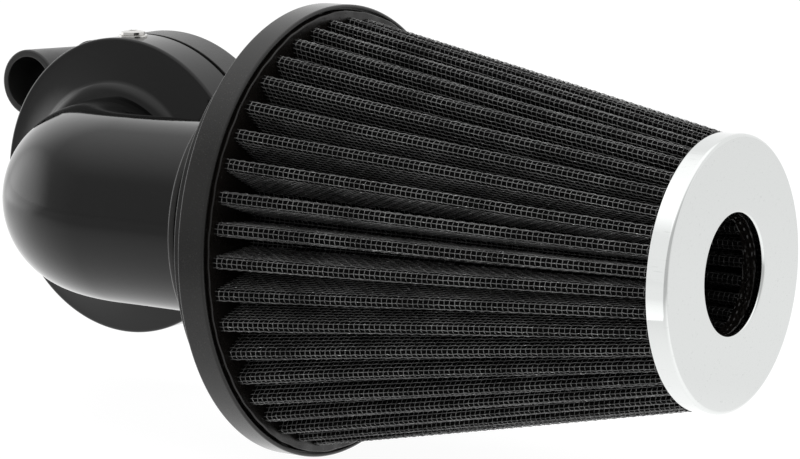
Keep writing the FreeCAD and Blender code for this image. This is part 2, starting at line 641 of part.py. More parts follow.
def cover_fasteners():
    """Seal ring between pilot and skirt, and button head screws with washers round the skirt."""
    seal = doc.addObject("Part::Torus", "ring_seal")
    seal.setExpression("Radius1", bound(f"{SKIRT_BORE} - ring_seal_section - seal_clearance"))
    seal.setExpression("Radius2", bound("ring_seal_section"))
    seal.Placement = FreeCAD.Placement(FreeCAD.Vector(), TURN_TO_PLATE_AXIS)
    seal.setExpression("Placement.Base.y", bound(f"{SEAM} - ring_seal_place"))
    washers = body("cover_screw_washers", along=COVER_SCREW_LINE)
    washer = ring(washers, "cover_washer", "cover_screw_radius + bolt_clearance",
                  "cover_washer_radius", SPOT, COVER_HEAD_SEAT, plane="XZ_Plane")
    round_array(washers, [washer], "cover_screw_count")
    screws = body("cover_screws", along=COVER_SCREW_LINE)
    screw = turned(screws, "cover_screw", [
        ("0", f"{COVER_HEAD_SEAT} - cover_screw_length"),
        ("cover_screw_radius", f"{COVER_HEAD_SEAT} - cover_screw_length"),
        ("cover_screw_radius", COVER_HEAD_SEAT),
        ("cover_head_radius", COVER_HEAD_SEAT),
        ("cover_head_radius", f"{COVER_HEAD_SEAT} + cover_head_rim"),
        ("0", f"{COVER_HEAD_SEAT} + cover_head_height"),
    ], arcs={4: f"-{CROWN_CURVE}"}, plane="XZ_Plane")
    socket = hexagon_socket(screws, "cover_socket", "XY_Plane",
                            f"{COVER_HEAD_SEAT} + cover_head_height",
                            "0", "cover_socket_flats", "cover_socket_depth")
    round_array(screws, [screw, socket], "cover_screw_count")
    return [seal, washers, screws]


def filter_base():
    """Moulded neck, pedestal and flange with its potting channel, and the potting in it."""
    base = body("base_flange", along=f"-{AXIS_DEPTH}")
    turned(base, "base_moulding", [
        ("neck_rear", NECK_BORE),
        ("neck_rear", BEAD),
        ("neck_rear + bead_width", BEAD),
        ("neck_rear + bead_width", NECK),
        (PEDESTAL_REAR, NECK),
        (PEDESTAL_REAR, PEDESTAL),
        (FLANGE_REAR, PEDESTAL),
        (FLANGE_REAR, "flange_radius - flange_rounding"),
        (f"{FLANGE_REAR} + flange_rounding", "flange_radius"),
        (f"{FLANGE_FRONT} - flange_rounding", "flange_radius"),
        (FLANGE_FRONT, "flange_radius - flange_rounding"),
        (FLANGE_FRONT, CHANNEL),
        (CHANNEL_FLOOR, CHANNEL),
        (CHANNEL_FLOOR, DAM),
        (FLANGE_FRONT, DAM),
        (FLANGE_FRONT, f"{DAM} - dam_wall"),
        (f"{STOP} + throat_width", THROAT),
        (STOP, THROAT),
        (STOP, NECK_BORE),
    ], arcs={7: "flange_rounding", 9: "flange_rounding"}, axis="H_Axis")
    potting = body("base_potting", along=f"-{AXIS_DEPTH}")
    turned(potting, "base_potting_ring", [
        (CHANNEL_FLOOR, DAM),
        (CHANNEL_FLOOR, CHANNEL),
        (f"{FLANGE_FRONT} - groove_depth", CHANNEL),
        (f"{FLANGE_FRONT} - groove_depth", POTTING),
        (f"{MEDIA_BASE} - potting_rounding", POTTING),
        (MEDIA_BASE, f"{POTTING} - potting_rounding"),
        (MEDIA_BASE, DAM),
    ], arcs={4: "potting_rounding"}, axis="H_Axis")
    return [base, potting]


def filter_tip():
    """Chrome ring, the potting that fills it, and the cap on the inner cone's small end."""
    chrome = body("chrome_ring", along=f"-{AXIS_DEPTH}")
    turned(chrome, "chrome_ring_shell", [
        (MEDIA_TIP, RING_BORE),
        (MEDIA_TIP, "ring_radius"),
        (f"{RING_FRONT} - ring_rounding", "ring_radius"),
        (RING_FRONT, "ring_radius - ring_rounding"),
        (RING_FRONT, "mouth_radius + mouth_rounding"),
        (f"{RING_FRONT} - mouth_rounding", "mouth_radius"),
        (RING_BACK_FACE, "mouth_radius"),
        (RING_BACK_FACE, RING_BORE),
    ], arcs={2: "ring_rounding", 4: "mouth_rounding"}, axis="H_Axis")
    potting = body("end_potting", along=f"-{AXIS_DEPTH}")
    turned(potting, "end_potting_ring", [
        (COLLAR_REAR, COLLAR_BORE),
        (COLLAR_REAR, COLLAR),
        (MEDIA_TIP, COLLAR),
        (MEDIA_TIP, RING_BORE),
        (RING_BACK_FACE, RING_BORE),
        (RING_BACK_FACE, COLLAR_BORE),
    ], axis="H_Axis")
    cap = body("inner_end_cap", along=f"-{AXIS_DEPTH}")
    hoop(cap, "inner_end_disc", "0", f"{INNER_REACH} * inner_taper + end_cap_lip",
         f"{INNER_TIP} - end_cap_thickness", INNER_TIP)
    return [chrome, potting, cap]


def pleat_ring(count, crest, valley, crest_width, valley_width, camber):
    """One closed turn of trapezium pleats as (y, z) points; camber rounds each crest."""
    points = []
    for pleat in range(count):
        for radius, width, turn in ((crest, crest_width, pleat),
                                    (valley, valley_width, pleat + 0.5)):
            angle = 2 * math.pi * turn / count
            outwards = FreeCAD.Vector(math.cos(angle), math.sin(angle), 0)
            sideways = FreeCAD.Vector(-math.sin(angle), math.cos(angle), 0)
            if radius == crest:
                shoulder = outwards * (crest - camber)
                points.append(shoulder - sideways * (width / 2))
                points.append(outwards * crest)
                points.append(shoulder + sideways * (width / 2))
            else:
                points.append(outwards * valley - sideways * (width / 2))
                points.append(outwards * valley + sideways * (width / 2))
    return points


def inset(points, distance):
    """The closed outline moved towards its inside by distance, with mitred corners."""
    moved = []
    for index, point in enumerate(points):
        before = (point - points[index - 1]).normalize()
        after = (points[(index + 1) % len(points)] - point).normalize()
        left_before = FreeCAD.Vector(-before.y, before.x, 0)
        left_after = FreeCAD.Vector(-after.y, after.x, 0)
        mitre = (left_before + left_after) / (1 + left_before.dot(left_after))
        moved.append(point + mitre * distance)
    return moved


def pleated_layer(label, outside, inside, rear, front, share):
    """The solid between two outlines that lie at scale 1 in one plane and at share in the other."""
    def wire(points, place, scale):
        corners = [FreeCAD.Vector(place, point.x * scale, point.y * scale) for point in points]
        return corners

    faces = []
    near_far = [(wire(points, rear, 1.0), wire(points, front, share))
                for points in (outside, inside)]
    for near, far in near_far:
        for index in range(len(near)):
            following = (index + 1) % len(near)
            corners = [near[index], near[following], far[following], far[index], near[index]]
            faces.append(Part.Face(Part.makePolygon(corners)))
    for end in (0, 1):
        loops = [Part.makePolygon(side[end] + side[end][:1]) for side in near_far]
        faces.append(Part.Face(loops[0]).cut(Part.Face(loops[1])).Faces[0])
    shell = Part.makeShell(faces)
    shell.sewShape()
    solid = Part.makeSolid(shell)
    if solid.Volume < 0:
        solid.reverse()
    layer = doc.addObject("Part::Feature", label)
    layer.Shape = solid
    layer.Placement = FreeCAD.Placement(FreeCAD.Vector(0, -value(AXIS_DEPTH), 0),
                                        FreeCAD.Rotation())
    return layer


def outer_cone():
    """Gauze between two wire screens, folded into pleats that shrink towards the chrome ring."""
    surface = pleat_ring(round(value("pleat_count")), value(CREST_BASE), value(VALLEY_BASE),
                         value("crest_width"), value("valley_width"), value("crest_camber"))
    levels = [value(text) for text in ("0", "screen_thickness",
                                       "screen_thickness + media_thickness", STACK)]
    outlines = [inset(surface, level) for level in levels]
    return [pleated_layer(label, outlines[layer], outlines[layer + 1],
                          value(MEDIA_BASE), value(MEDIA_TIP), value(SHRINK))
            for layer, label in enumerate(("outer_screen", "outer_media", "outer_back_screen"))]


def inner_cone():
    """The same three layers as an inverted cone that opens through the chrome ring's hole."""
    surface = pleat_ring(round(value("inner_count")), value(COLLAR_BORE), value(INNER_REACH),
                         value("inner_crest_width"), value("inner_valley_width"), 0.0)
    levels = [value(text) for text in ("0", "inner_screen_thickness",
                                       "inner_screen_thickness + inner_thickness",
                                       "2 * inner_screen_thickness + inner_thickness")]
    outlines = [inset(surface, -level) for level in levels]
    share = value("inner_taper")
    return [pleated_layer(label, outlines[layer + 1], outlines[layer],
                          value(COLLAR_REAR), value(INNER_TIP), share)
            for layer, label in enumerate(("inner_screen", "inner_media", "inner_back_screen"))]


def primitive(kind, name, place, turn=None, **sizes):
    """A Part primitive with bound sizes and a bound (x, y, z) place."""
    made = doc.addObject(kind, name)
    made.Placement = FreeCAD.Placement(FreeCAD.Vector(), turn or FreeCAD.Rotation())
    for letter, text in zip("xyz", place):
        made.setExpression(f"Placement.Base.{letter}", bound(text))
    for size, text in sizes.items():
        made.setExpression(size, bound(text))
    return made


def cut(name, base, tool):
    """One solid less another."""
    made = doc.addObject("Part::Cut", name)
    made.Base = base
    made.Tool = tool
    return made


def clamp():
    """Worm drive clamp under the neck: band, housing with a saddle, and the screw in it."""
    band = body("clamp_band", along=f"-{AXIS_DEPTH}")
    hoop(band, "band_hoop", NECK, BAND_OUTSIDE, BAND_REAR, f"{BAND_REAR} + band_width")
    block = primitive("Part::Box", "housing_block",
                      (f"{CLAMP_MIDDLE} - housing_width / 2",
                       f"-{AXIS_DEPTH} - housing_length / 2",
                       f"-({BAND_OUTSIDE} + housing_height)"),
                      Length="housing_width", Width="housing_length",
                      Height="housing_height + housing_saddle")
    saddle = primitive("Part::Cylinder", "housing_saddle_round",
                       (f"{CLAMP_MIDDLE} - band_width", f"-{AXIS_DEPTH}", "0"),
                       TURN_TO_FILTER_AXIS, Radius=BAND_OUTSIDE, Height="2 * band_width")
    bore = primitive("Part::Cylinder", "worm_bore",
                     (CLAMP_MIDDLE, f"-{AXIS_DEPTH} - housing_length", f"-{WORM_LINE}"),
                     TURN_TO_THROTTLE, Radius=WORM_BORE, Height="2 * housing_length")
    housing = cut("clamp_housing", cut("housing_on_band", block, saddle), bore)
    head_seat = f"-{AXIS_DEPTH} - housing_length / 2 - worm_end_gap"
    worm = primitive("Part::Cylinder", "worm", (CLAMP_MIDDLE, head_seat, f"-{WORM_LINE}"),
                     TURN_TO_THROTTLE, Radius="worm_radius",
                     Height="housing_length + worm_end_gap + screw_end")
    head = primitive("Part::Prism", "screw_head",
                     (CLAMP_MIDDLE, f"{head_seat} - screw_head_height", f"-{WORM_LINE}"),
                     TURN_TO_THROTTLE, Circumradius="screw_head_radius",
                     Height="screw_head_height")
    slot = primitive("Part::Box", "driver_slot",
                     (f"{CLAMP_MIDDLE} - screw_head_radius",
                      f"{head_seat} - screw_head_height",
                      f"-{WORM_LINE} - screw_slot_width / 2"),
                     Length="2 * screw_head_radius", Width="screw_slot_depth",
                     Height="screw_slot_width")
    blank = doc.addObject("Part::Fuse", "screw_blank")
    blank.Base = worm
    blank.Tool = head
    return [band, housing, cut("clamp_screw", blank, slot)]


def check(pieces):
    """Stops the script if any object failed or any piece is empty or invalid."""
    for item in doc.Objects:
        if {"Invalid", "Error"} & set(item.State):
            raise RuntimeError(f"{item.Name} failed: {item.State}")
    for piece in pieces:
        if piece.Shape.isNull() or not piece.Shape.isValid() or piece.Shape.Volume <= 0:
            raise RuntimeError(f"{piece.Label} has no valid solid")


pieces = [backing_plate(), breather_bosses(), elbow(), *throttle_fasteners(),
          *breather_fasteners(), *cover_fasteners(), *filter_base(), *filter_tip(),
          *outer_cone(), *inner_cone(), *clamp()]
doc.recompute()
check(pieces)
os.makedirs("parts", exist_ok=True)
for piece in pieces:
    piece.Shape.exportStep(f"parts/{piece.Label}.step")
    box = piece.Shape.BoundBox
    print(f"{piece.Label}: {len(piece.Shape.Solids)} solids, {piece.Shape.Volume:.1f} mm3, "
          f"x {box.XMin:.2f}..{box.XMax:.2f} y {box.YMin:.2f}..{box.YMax:.2f} "
          f"z {box.ZMin:.2f}..{box.ZMax:.2f}")
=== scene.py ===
import math

import bmesh
import bpy
import numpy as np
from mathutils import Matrix, Vector


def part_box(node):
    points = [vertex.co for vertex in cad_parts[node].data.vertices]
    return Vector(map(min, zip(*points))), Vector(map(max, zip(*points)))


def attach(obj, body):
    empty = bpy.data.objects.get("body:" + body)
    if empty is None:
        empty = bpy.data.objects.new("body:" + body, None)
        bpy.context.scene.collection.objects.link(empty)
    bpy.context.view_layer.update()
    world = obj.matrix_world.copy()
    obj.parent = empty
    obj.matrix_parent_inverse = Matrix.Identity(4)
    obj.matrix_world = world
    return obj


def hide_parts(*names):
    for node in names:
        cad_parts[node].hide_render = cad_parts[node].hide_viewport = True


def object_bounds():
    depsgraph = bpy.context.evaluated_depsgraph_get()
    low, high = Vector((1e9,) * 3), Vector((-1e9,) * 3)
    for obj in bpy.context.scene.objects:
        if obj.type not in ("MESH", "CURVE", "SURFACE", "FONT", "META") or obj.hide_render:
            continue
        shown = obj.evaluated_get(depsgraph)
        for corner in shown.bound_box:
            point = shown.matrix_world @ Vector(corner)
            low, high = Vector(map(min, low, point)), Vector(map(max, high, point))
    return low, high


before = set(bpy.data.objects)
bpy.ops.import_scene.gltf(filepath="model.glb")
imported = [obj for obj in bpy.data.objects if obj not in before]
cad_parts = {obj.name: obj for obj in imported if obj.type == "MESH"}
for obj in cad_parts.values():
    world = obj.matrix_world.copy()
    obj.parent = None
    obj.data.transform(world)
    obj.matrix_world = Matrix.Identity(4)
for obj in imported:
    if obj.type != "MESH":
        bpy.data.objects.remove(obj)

# Visual model of a cone air filter on its right-angle intake elbow.
#
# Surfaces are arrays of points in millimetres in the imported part's frame: X along the filter,
# Y into the throttle, Z up. They become metres where a mesh is made. An axis is its origin,
# its direction and the side from which angles about it are counted.

MM = 0.001
FULL_TURN = 2 * math.pi
cad_low, cad_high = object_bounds()


def reach(node):
    """Lowest and highest corner of a CAD node in millimetres."""
    low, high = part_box(node)
    return np.array(low) / MM, np.array(high) / MM


# ---- measures, read from the frame where a node gives them ----
elbow_low, elbow_high = reach("elbow")
boss_high = reach("breather_bosses")[1]
base_low, base_high = reach("base_flange")
screen_low, screen_high = reach("outer_screen")
chrome_low, chrome_high = reach("chrome_ring")
collar_low = reach("end_potting")[0]
cap_low, cap_high = reach("inner_end_cap")
inner_low = reach("inner_screen")[0]
band_low, band_high = reach("clamp_band")

AXIS_Y = (chrome_low[1] + chrome_high[1]) / 2
SKIRT = -elbow_low[0]
SEAM = elbow_high[1]
SPIGOT_END = elbow_high[0]
FLANGE = base_high[2]
FLANGE_FRONT = base_high[0]
NECK_REAR = base_low[0]
MEDIA_BASE, MEDIA_TIP = screen_low[0], screen_high[0]
CREST_BASE = (screen_high[1] - screen_low[1]) / 2
RING = chrome_high[2]
RING_FRONT = chrome_high[0]
COLLAR_REAR = collar_low[0]
BOSS_REACH = boss_high[1]
BOSS_EDGE = boss_high[0]

FILTER_AXIS = (np.array([0, AXIS_Y, 0]), np.array([1.0, 0, 0]), np.array([0, 1.0, 0]))
PLATE_AXIS = (np.zeros(3), np.array([0, 1.0, 0]), np.array([1.0, 0, 0]))


def beside_plate_axis(across, up):
    """An axis parallel to the plate's, that far to its side and above it."""
    return np.array([across, 0, up]), PLATE_AXIS[1], PLATE_AXIS[2]


# ---- shapes: outlines, turned grids and meshes ----
SHADING_HOLD = 0.15


def rounded(corners, closed=True, steps=5):
    """Outline through (along, radius, rounding) corners as an array of points.

    A rounding replaces its corner by an arc that touches both sides. A point just beyond
    each end of the arc holds the shading flat on the straight stretches.
    """
    flat = np.array([corner[:2] for corner in corners], float)
    count = len(corners)
    points = []
    for index, here in enumerate(flat):
        radius = corners[index][2]
        if radius == 0 or (not closed and index in (0, count - 1)):
            points.append(here)
            continue
        before = flat[index - 1] - here
        after = flat[(index + 1) % count] - here
        room = np.linalg.norm(before), np.linalg.norm(after)
        before, after = before / room[0], after / room[1]
        half = 0.5 * math.acos(np.clip(before @ after, -1, 1))
        cut = radius / math.tan(half)
        middle = (before + after) / np.linalg.norm(before + after)
        centre = here + middle * radius / math.sin(half)
        first = here + before * cut - centre
        last = here + after * cut - centre
        begin = math.atan2(first[1], first[0])
        sweep = (math.atan2(last[1], last[0]) - begin + math.pi) % FULL_TURN - math.pi
        angles = begin + sweep * np.linspace(0, 1, steps + 1)
        if room[0] > cut + 2 * SHADING_HOLD:
            points.append(here + before * (cut + SHADING_HOLD))
        points.extend(centre + radius * np.stack([np.cos(angles), np.sin(angles)], 1))
        if room[1] > cut + 2 * SHADING_HOLD:
            points.append(here + after * (cut + SHADING_HOLD))
    return np.array(points)


def bulge(start, end, radius, steps):
    """Inner points of the short arc from start to end; a positive radius bulges to the left."""
    start, end = np.array(start, float), np.array(end, float)
    chord = end - start
    length = np.linalg.norm(chord)
    left = np.array([-chord[1], chord[0]]) / length
    depth = math.sqrt(radius * radius - length * length / 4) * math.copysign(1, radius)
    centre = (start + end) / 2 - left * depth
    first, last = start - centre, end - centre
    begin = math.atan2(first[1], first[0])
    sweep = (math.atan2(last[1], last[0]) - begin + math.pi) % FULL_TURN - math.pi
    angles = begin + sweep * np.linspace(0, 1, steps + 2)[1:-1]
    points = centre + abs(radius) * np.stack([np.cos(angles), np.sin(angles)], 1)
    return [(along, across, 0) for along, across in points]


def turned(outline, axis, steps=192, swell=None):
    """An outline's (along, radius) points carried round an axis: outline down, angle across.

    swell(along, radius, angle) gives what is added to along and to radius at each point.
    """
    origin, direction, side = axis
    third = np.cross(direction, side)
    angle = np.linspace(0, FULL_TURN, steps, endpoint=False)[None, :]
    along = np.repeat(outline[:, :1], steps, 1)
    radius = np.repeat(outline[:, 1:2], steps, 1)
    if swell:
        more_along, more_radius = swell(along, radius, angle)
        along, radius = along + more_along, radius + more_radius
    around = np.cos(angle)[..., None] * side + np.sin(angle)[..., None] * third
    return origin + along[..., None] * direction + radius[..., None] * around


def grid_faces(rows, columns, wrap_rows, wrap_columns):
    """Quads of a grid whose points count up along each row."""
    row, column = np.meshgrid(np.arange(rows if wrap_rows else rows - 1),
                              np.arange(columns if wrap_columns else columns - 1),
                              indexing="ij")
    next_row, next_column = (row + 1) % rows, (column + 1) % columns
    return np.stack([row * columns + column, row * columns + next_column,
                     next_row * columns + next_column, next_row * columns + column],
                    -1).reshape(-1, 4)


def filled(name, points, faces):
    """A mesh from a point array in millimetres and a face array, all faces alike in corners."""
    mesh = bpy.data.meshes.new(name)
    corners = faces.shape[1]
    mesh.vertices.add(len(points))
    mesh.vertices.foreach_set("co", (points * MM).astype(np.float32).ravel())
    mesh.loops.add(faces.size)
    mesh.loops.foreach_set("vertex_index", faces.astype(np.int32).ravel())
    mesh.polygons.add(len(faces))
    mesh.polygons.foreach_set("loop_start", np.arange(0, faces.size, corners, dtype=np.int32))
    mesh.update(calc_edges=True)
    return mesh


def shells(name, grids, sharp=38):
    """One mesh of closed grids, each (points, wraps down, wraps across), welded at poles."""
    points, faces, start = [], [], 0
    for grid, wrap_rows, wrap_columns in grids:
        rows, columns = grid.shape[:2]
        points.append(grid.reshape(-1, 3))
        faces.append(grid_faces(rows, columns, wrap_rows, wrap_columns) + start)
        start += rows * columns
    mesh = filled(name, np.concatenate(points), np.concatenate(faces))
    work = bmesh.new()
    work.from_mesh(mesh)
    bmesh.ops.remove_doubles(work, verts=work.verts, dist=2e-7)
    bmesh.ops.recalc_face_normals(work, faces=work.faces)
    work.to_mesh(mesh)
    work.free()
    mesh.shade_smooth()
    mesh.set_sharp_from_angle(angle=math.radians(sharp))
    return mesh


def placed(mesh, finish, body, slot, *nodes):
    """A finished piece of the object, which rides on a body and stands for CAD nodes."""
    made = bpy.data.objects.new(mesh.name, mesh)
    bpy.context.scene.collection.objects.link(made)
    mesh.materials.append(finish)
    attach(made, body)
    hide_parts(*nodes)


# ---- shader groups that several finishes share ----
def shader_group(name, inputs, outputs):
    """An empty node group with named sockets, and its input and output nodes."""
    tree = bpy.data.node_groups.new(name, "ShaderNodeTree")
    for socket, kind, default in inputs:
        made = tree.interface.new_socket(name=socket, in_out="INPUT",
                                         socket_type="NodeSocket" + kind)
        if default is not None:
            made.default_value = default
    for socket, kind in outputs:
        tree.interface.new_socket(name=socket, in_out="OUTPUT",
                                  socket_type="NodeSocket" + kind)
    return tree, tree.nodes.new("NodeGroupInput"), tree.nodes.new("NodeGroupOutput")


def noise(tree, vector, scale, detail=2.0, roughness=0.5, distortion=0.0):
    """A noise texture node's value output; scale may be a socket."""
    node = tree.nodes.new("ShaderNodeTexNoise")
    node.inputs["Detail"].default_value = detail
    node.inputs["Roughness"].default_value = roughness
    node.inputs["Distortion"].default_value = distortion
    tree.links.new(vector, node.inputs["Vector"])
    feed(tree, node.inputs["Scale"], scale)
    return node.outputs["Fac"]


def feed(tree, socket, given):
    """Links an output to a socket, or sets a plain value on it."""
    if isinstance(given, bpy.types.NodeSocket):
        tree.links.new(given, socket)
    else:
        socket.default_value = given


def worked_out(tree, operation, first, second, clamp=False):
    """The output of a Math node on values or sockets."""
    node = tree.nodes.new("ShaderNodeMath")
    node.operation = operation
    node.use_clamp = clamp
    feed(tree, node.inputs[0], first)
    feed(tree, node.inputs[1], second)
    return node.outputs[0]


def ranged(tree, given, low, high, new_low, new_high, kind="LINEAR"):
    """A value brought from one range to another, and kept within it."""
    node = tree.nodes.new("ShaderNodeMapRange")
    node.interpolation_type = kind
    for socket, amount in zip(("Value", "From Min", "From Max", "To Min", "To Max"),
                              (given, low, high, new_low, new_high)):
        feed(tree, node.inputs[socket], amount)
    return node.outputs[0]


def blended(tree, mask, first, second):
    """The colour between two others that a mask picks."""
    node = tree.nodes.new("ShaderNodeMix")
    node.data_type = "RGBA"
    feed(tree, node.inputs["Factor"], mask)
    feed(tree, node.inputs["A"], first)
    feed(tree, node.inputs["B"], second)
    return node.outputs["Result"]


def make_cast_grain():
    """Fine lumps of a casting or moulding, with a slow change of level: Height and Mask."""
    tree, given, result = shader_group(
        "cast_grain",
        [("Vector", "Vector", None), ("Grain per metre", "Float", 900.0),
         ("Slow share", "Float", 0.4)],
        [("Height", "Float"), ("Mask", "Float")])
    fine = noise(tree, given.outputs["Vector"], given.outputs["Grain per metre"], 3.0, 0.6)
    slow_scale = worked_out(tree, "MULTIPLY", given.outputs["Grain per metre"], 0.07)
    slow = noise(tree, given.outputs["Vector"], slow_scale, 2.0, 0.5, 0.3)
    weighted = worked_out(tree, "MULTIPLY", slow, given.outputs["Slow share"])
    tree.links.new(worked_out(tree, "ADD", fine, weighted), result.inputs["Height"])
    tree.links.new(ranged(tree, slow, 0.35, 0.65, 0.0, 1.0), result.inputs["Mask"])
    return tree


def make_rubbed_sheen():
    """Roughness of a handled surface: cloudy patches and sparse fine rub marks."""
    tree, given, result = shader_group(
        "rubbed_sheen",
        [("Vector", "Vector", None), ("Roughness", "Float", 0.3), ("Spread", "Float", 0.06),
         ("Patches per metre", "Float", 40.0)],
        [("Roughness", "Float"), ("Marks", "Float")])
    clouds = noise(tree, given.outputs["Vector"], given.outputs["Patches per metre"],
                   4.0, 0.6, 0.5)
    stretch = tree.nodes.new("ShaderNodeMapping")
    stretch.inputs["Scale"].default_value = (0.12, 1.0, 1.6)
    stretch.inputs["Rotation"].default_value = (0.3, 0.2, 0.5)
    tree.links.new(given.outputs["Vector"], stretch.inputs["Vector"])
    streak_scale = worked_out(tree, "MULTIPLY", given.outputs["Patches per metre"], 30.0)
    streaks = noise(tree, stretch.outputs["Vector"], streak_scale, 2.0, 0.7)
    marks = ranged(tree, streaks, 0.62, 0.74, 0.0, 1.0)
    centred = worked_out(tree, "SUBTRACT", clouds, 0.5)
    cloudy = worked_out(tree, "MULTIPLY", centred, given.outputs["Spread"])
    lesser = worked_out(tree, "MULTIPLY", given.outputs["Spread"], 0.6)
    rubbed = worked_out(tree, "MULTIPLY", marks, lesser)
    both = worked_out(tree, "ADD", worked_out(tree, "MULTIPLY", cloudy, 2.0), rubbed)
    tree.links.new(worked_out(tree, "ADD", given.outputs["Roughness"], both, clamp=True),
                   result.inputs["Roughness"])
    tree.links.new(marks, result.inputs["Marks"])
    return tree


def make_settled_dust():
    """Where thin dust lies: patchy specks, more of them in slow clouds."""
    tree, given, result = shader_group(
        "settled_dust",
        [("Vector", "Vector", None), ("Amount", "Float", 0.1)],
        [("Mask", "Float")])
    clouds = noise(tree, given.outputs["Vector"], 60.0, 3.0, 0.6)
    specks = noise(tree, given.outputs["Vector"], 2600.0, 1.0, 0.5)
    dotted = ranged(tree, specks, 0.6, 0.75, 0.0, 1.0)
    spread = ranged(tree, clouds, 0.35, 0.7, 0.15, 1.0)
    both = worked_out(tree, "MULTIPLY", dotted, spread)
    tree.links.new(worked_out(tree, "MULTIPLY", both, given.outputs["Amount"], clamp=True),
                   result.inputs["Mask"])
    return tree


def make_poured_skin():
    """The level of a poured or moulded skin: slow swells and a few pinholes."""
    tree, given, result = shader_group(
        "poured_skin",
        [("Vector", "Vector", None), ("Swells per metre", "Float", 90.0)],
        [("Height", "Float"), ("Pinholes", "Float")])
    swell = noise(tree, given.outputs["Vector"], given.outputs["Swells per metre"], 2.0, 0.45)
    cells = tree.nodes.new("ShaderNodeTexVoronoi")
    cells.inputs["Scale"].default_value = 420.0
    tree.links.new(given.outputs["Vector"], cells.inputs["Vector"])
    holes = ranged(tree, cells.outputs["Distance"], 0.05, 0.12, 1.0, 0.0)
    dented = worked_out(tree, "MULTIPLY", holes, -0.6)
    tree.links.new(worked_out(tree, "ADD", swell, dented), result.inputs["Height"])
    tree.links.new(holes, result.inputs["Pinholes"])
    return tree


CAST_GRAIN = make_cast_grain()
RUBBED_SHEEN = make_rubbed_sheen()
SETTLED_DUST = make_settled_dust()
POURED_SKIN = make_poured_skin()


# ---- finishes ----
class Finish:
    """A material under construction: its tree, its shader and the object's coordinates."""

    def __init__(self, name, metallic=0.0, ior=1.45):
        self.material = bpy.data.materials.new(name)
        self.material.use_nodes = True
        self.tree = self.material.node_tree
        self.shader = self.tree.nodes["Principled BSDF"]
        self.shader.inputs["Metallic"].default_value = metallic
        self.shader.inputs["IOR"].default_value = ior
        self.place = self.tree.nodes.new("ShaderNodeTexCoord").outputs["Object"]

    def group(self, tree, **amounts):
        """A shared group placed in this finish, with its own values."""
        node = self.tree.nodes.new("ShaderNodeGroup")
        node.node_tree = tree
        self.tree.links.new(self.place, node.inputs["Vector"])
        for socket, amount in amounts.items():
            node.inputs[socket.replace("_", " ")].default_value = amount
        return node.outputs

    def colour(self, mask, first, second):
        """Base colour between two linear colours by a mask."""
        mixed = blended(self.tree, mask, (*first, 1.0), (*second, 1.0))
        self.tree.links.new(mixed, self.shader.inputs["Base Color"])

    def sheen(self, roughness, spread, patches=40.0):
        """Roughness from the rubbed sheen group; gives its marks."""
        rubbed = self.group(RUBBED_SHEEN, Roughness=roughness, Spread=spread,
                            Patches_per_metre=patches)
        self.tree.links.new(rubbed["Roughness"], self.shader.inputs["Roughness"])
        return rubbed["Marks"]

    def relief(self, height, depth):
        """A bump of that depth in millimetres from a height."""
        bump = self.tree.nodes.new("ShaderNodeBump")
        bump.inputs["Distance"].default_value = depth * MM
        bump.inputs["Strength"].default_value = 1.0
        self.tree.links.new(height, bump.inputs["Height"])
        self.tree.links.new(bump.outputs["Normal"], self.shader.inputs["Normal"])


def gloss_enamel():
    """Thick gloss black enamel with a faint orange peel, for the elbow."""
    finish = Finish("gloss_black_enamel", ior=1.36)
    marks = finish.sheen(0.075, 0.02, 30.0)
    finish.colour(marks, (0.0035, 0.0035, 0.0034), (0.007, 0.007, 0.0068))
    peel = finish.group(CAST_GRAIN, Grain_per_metre=420.0, Slow_share=1.6)
    finish.relief(peel["Height"], 0.012)
    return finish.material


def cast_enamel():
    """Satin black enamel over a cast surface, for the backing plate and its bosses."""
    finish = Finish("cast_black_enamel", ior=1.42)
    finish.sheen(0.34, 0.07)
    grain = finish.group(CAST_GRAIN, Grain_per_metre=1500.0, Slow_share=0.5)
    finish.colour(grain["Mask"], (0.011, 0.011, 0.0108), (0.019, 0.019, 0.0185))
    finish.relief(grain["Height"], 0.06)
    return finish.material


def moulded_urethane():
    """Satin moulded urethane of the filter's base: dark, slightly warm, faintly cloudy."""
    finish = Finish("moulded_black_urethane", ior=1.38)
    finish.sheen(0.19, 0.05, 55.0)
    grain = finish.group(CAST_GRAIN, Grain_per_metre=700.0, Slow_share=0.8)
    dust = finish.group(SETTLED_DUST, Amount=0.35)
    base = blended(finish.tree, grain["Mask"], (0.0085, 0.0083, 0.0079, 1),
                   (0.0125, 0.0122, 0.0116, 1))
    dusted = blended(finish.tree, dust["Mask"], base, (0.11, 0.105, 0.1, 1))
    finish.tree.links.new(dusted, finish.shader.inputs["Base Color"])
    finish.relief(grain["Height"], 0.01)
    return finish.material


def poured_urethane(name, dark, light, roughness):
    """Poured potting urethane: a glossy skin with slow swells and pinholes, which take the darker
    colour as painted shade.
    """
    finish = Finish(name, ior=1.38)
    finish.sheen(roughness, 0.08, 80.0)
    skin = finish.group(POURED_SKIN, Swells_per_metre=160.0)
    # Pinholes take the dark colour: painted shade in the dents.
    finish.colour(skin["Pinholes"], light, dark)
    finish.relief(skin["Height"], 0.25)
    return finish.material


def plated_chrome():
    """Bright chrome plating with hairline rub marks, for the end ring."""
    finish = Finish("plated_chrome", metallic=1.0)
    marks = finish.sheen(0.06, 0.03, 25.0)
    finish.colour(marks, (0.66, 0.674, 0.667), (0.6, 0.614, 0.607))
    ripple = finish.group(CAST_GRAIN, Grain_per_metre=60.0, Slow_share=1.0)
    finish.relief(ripple["Height"], 0.02)
    return finish.material


def bright_steel(name, colour, roughness, grain_scale, depth):
    """Bare or plated steel with a turned grain."""
    finish = Finish(name, metallic=1.0)
    marks = finish.sheen(roughness, 0.08, 90.0)
    darker = tuple(0.72 * channel for channel in colour)
    finish.colour(marks, colour, darker)
    grain = finish.group(CAST_GRAIN, Grain_per_metre=grain_scale, Slow_share=0.5)
    finish.relief(grain["Height"], depth)
    return finish.material


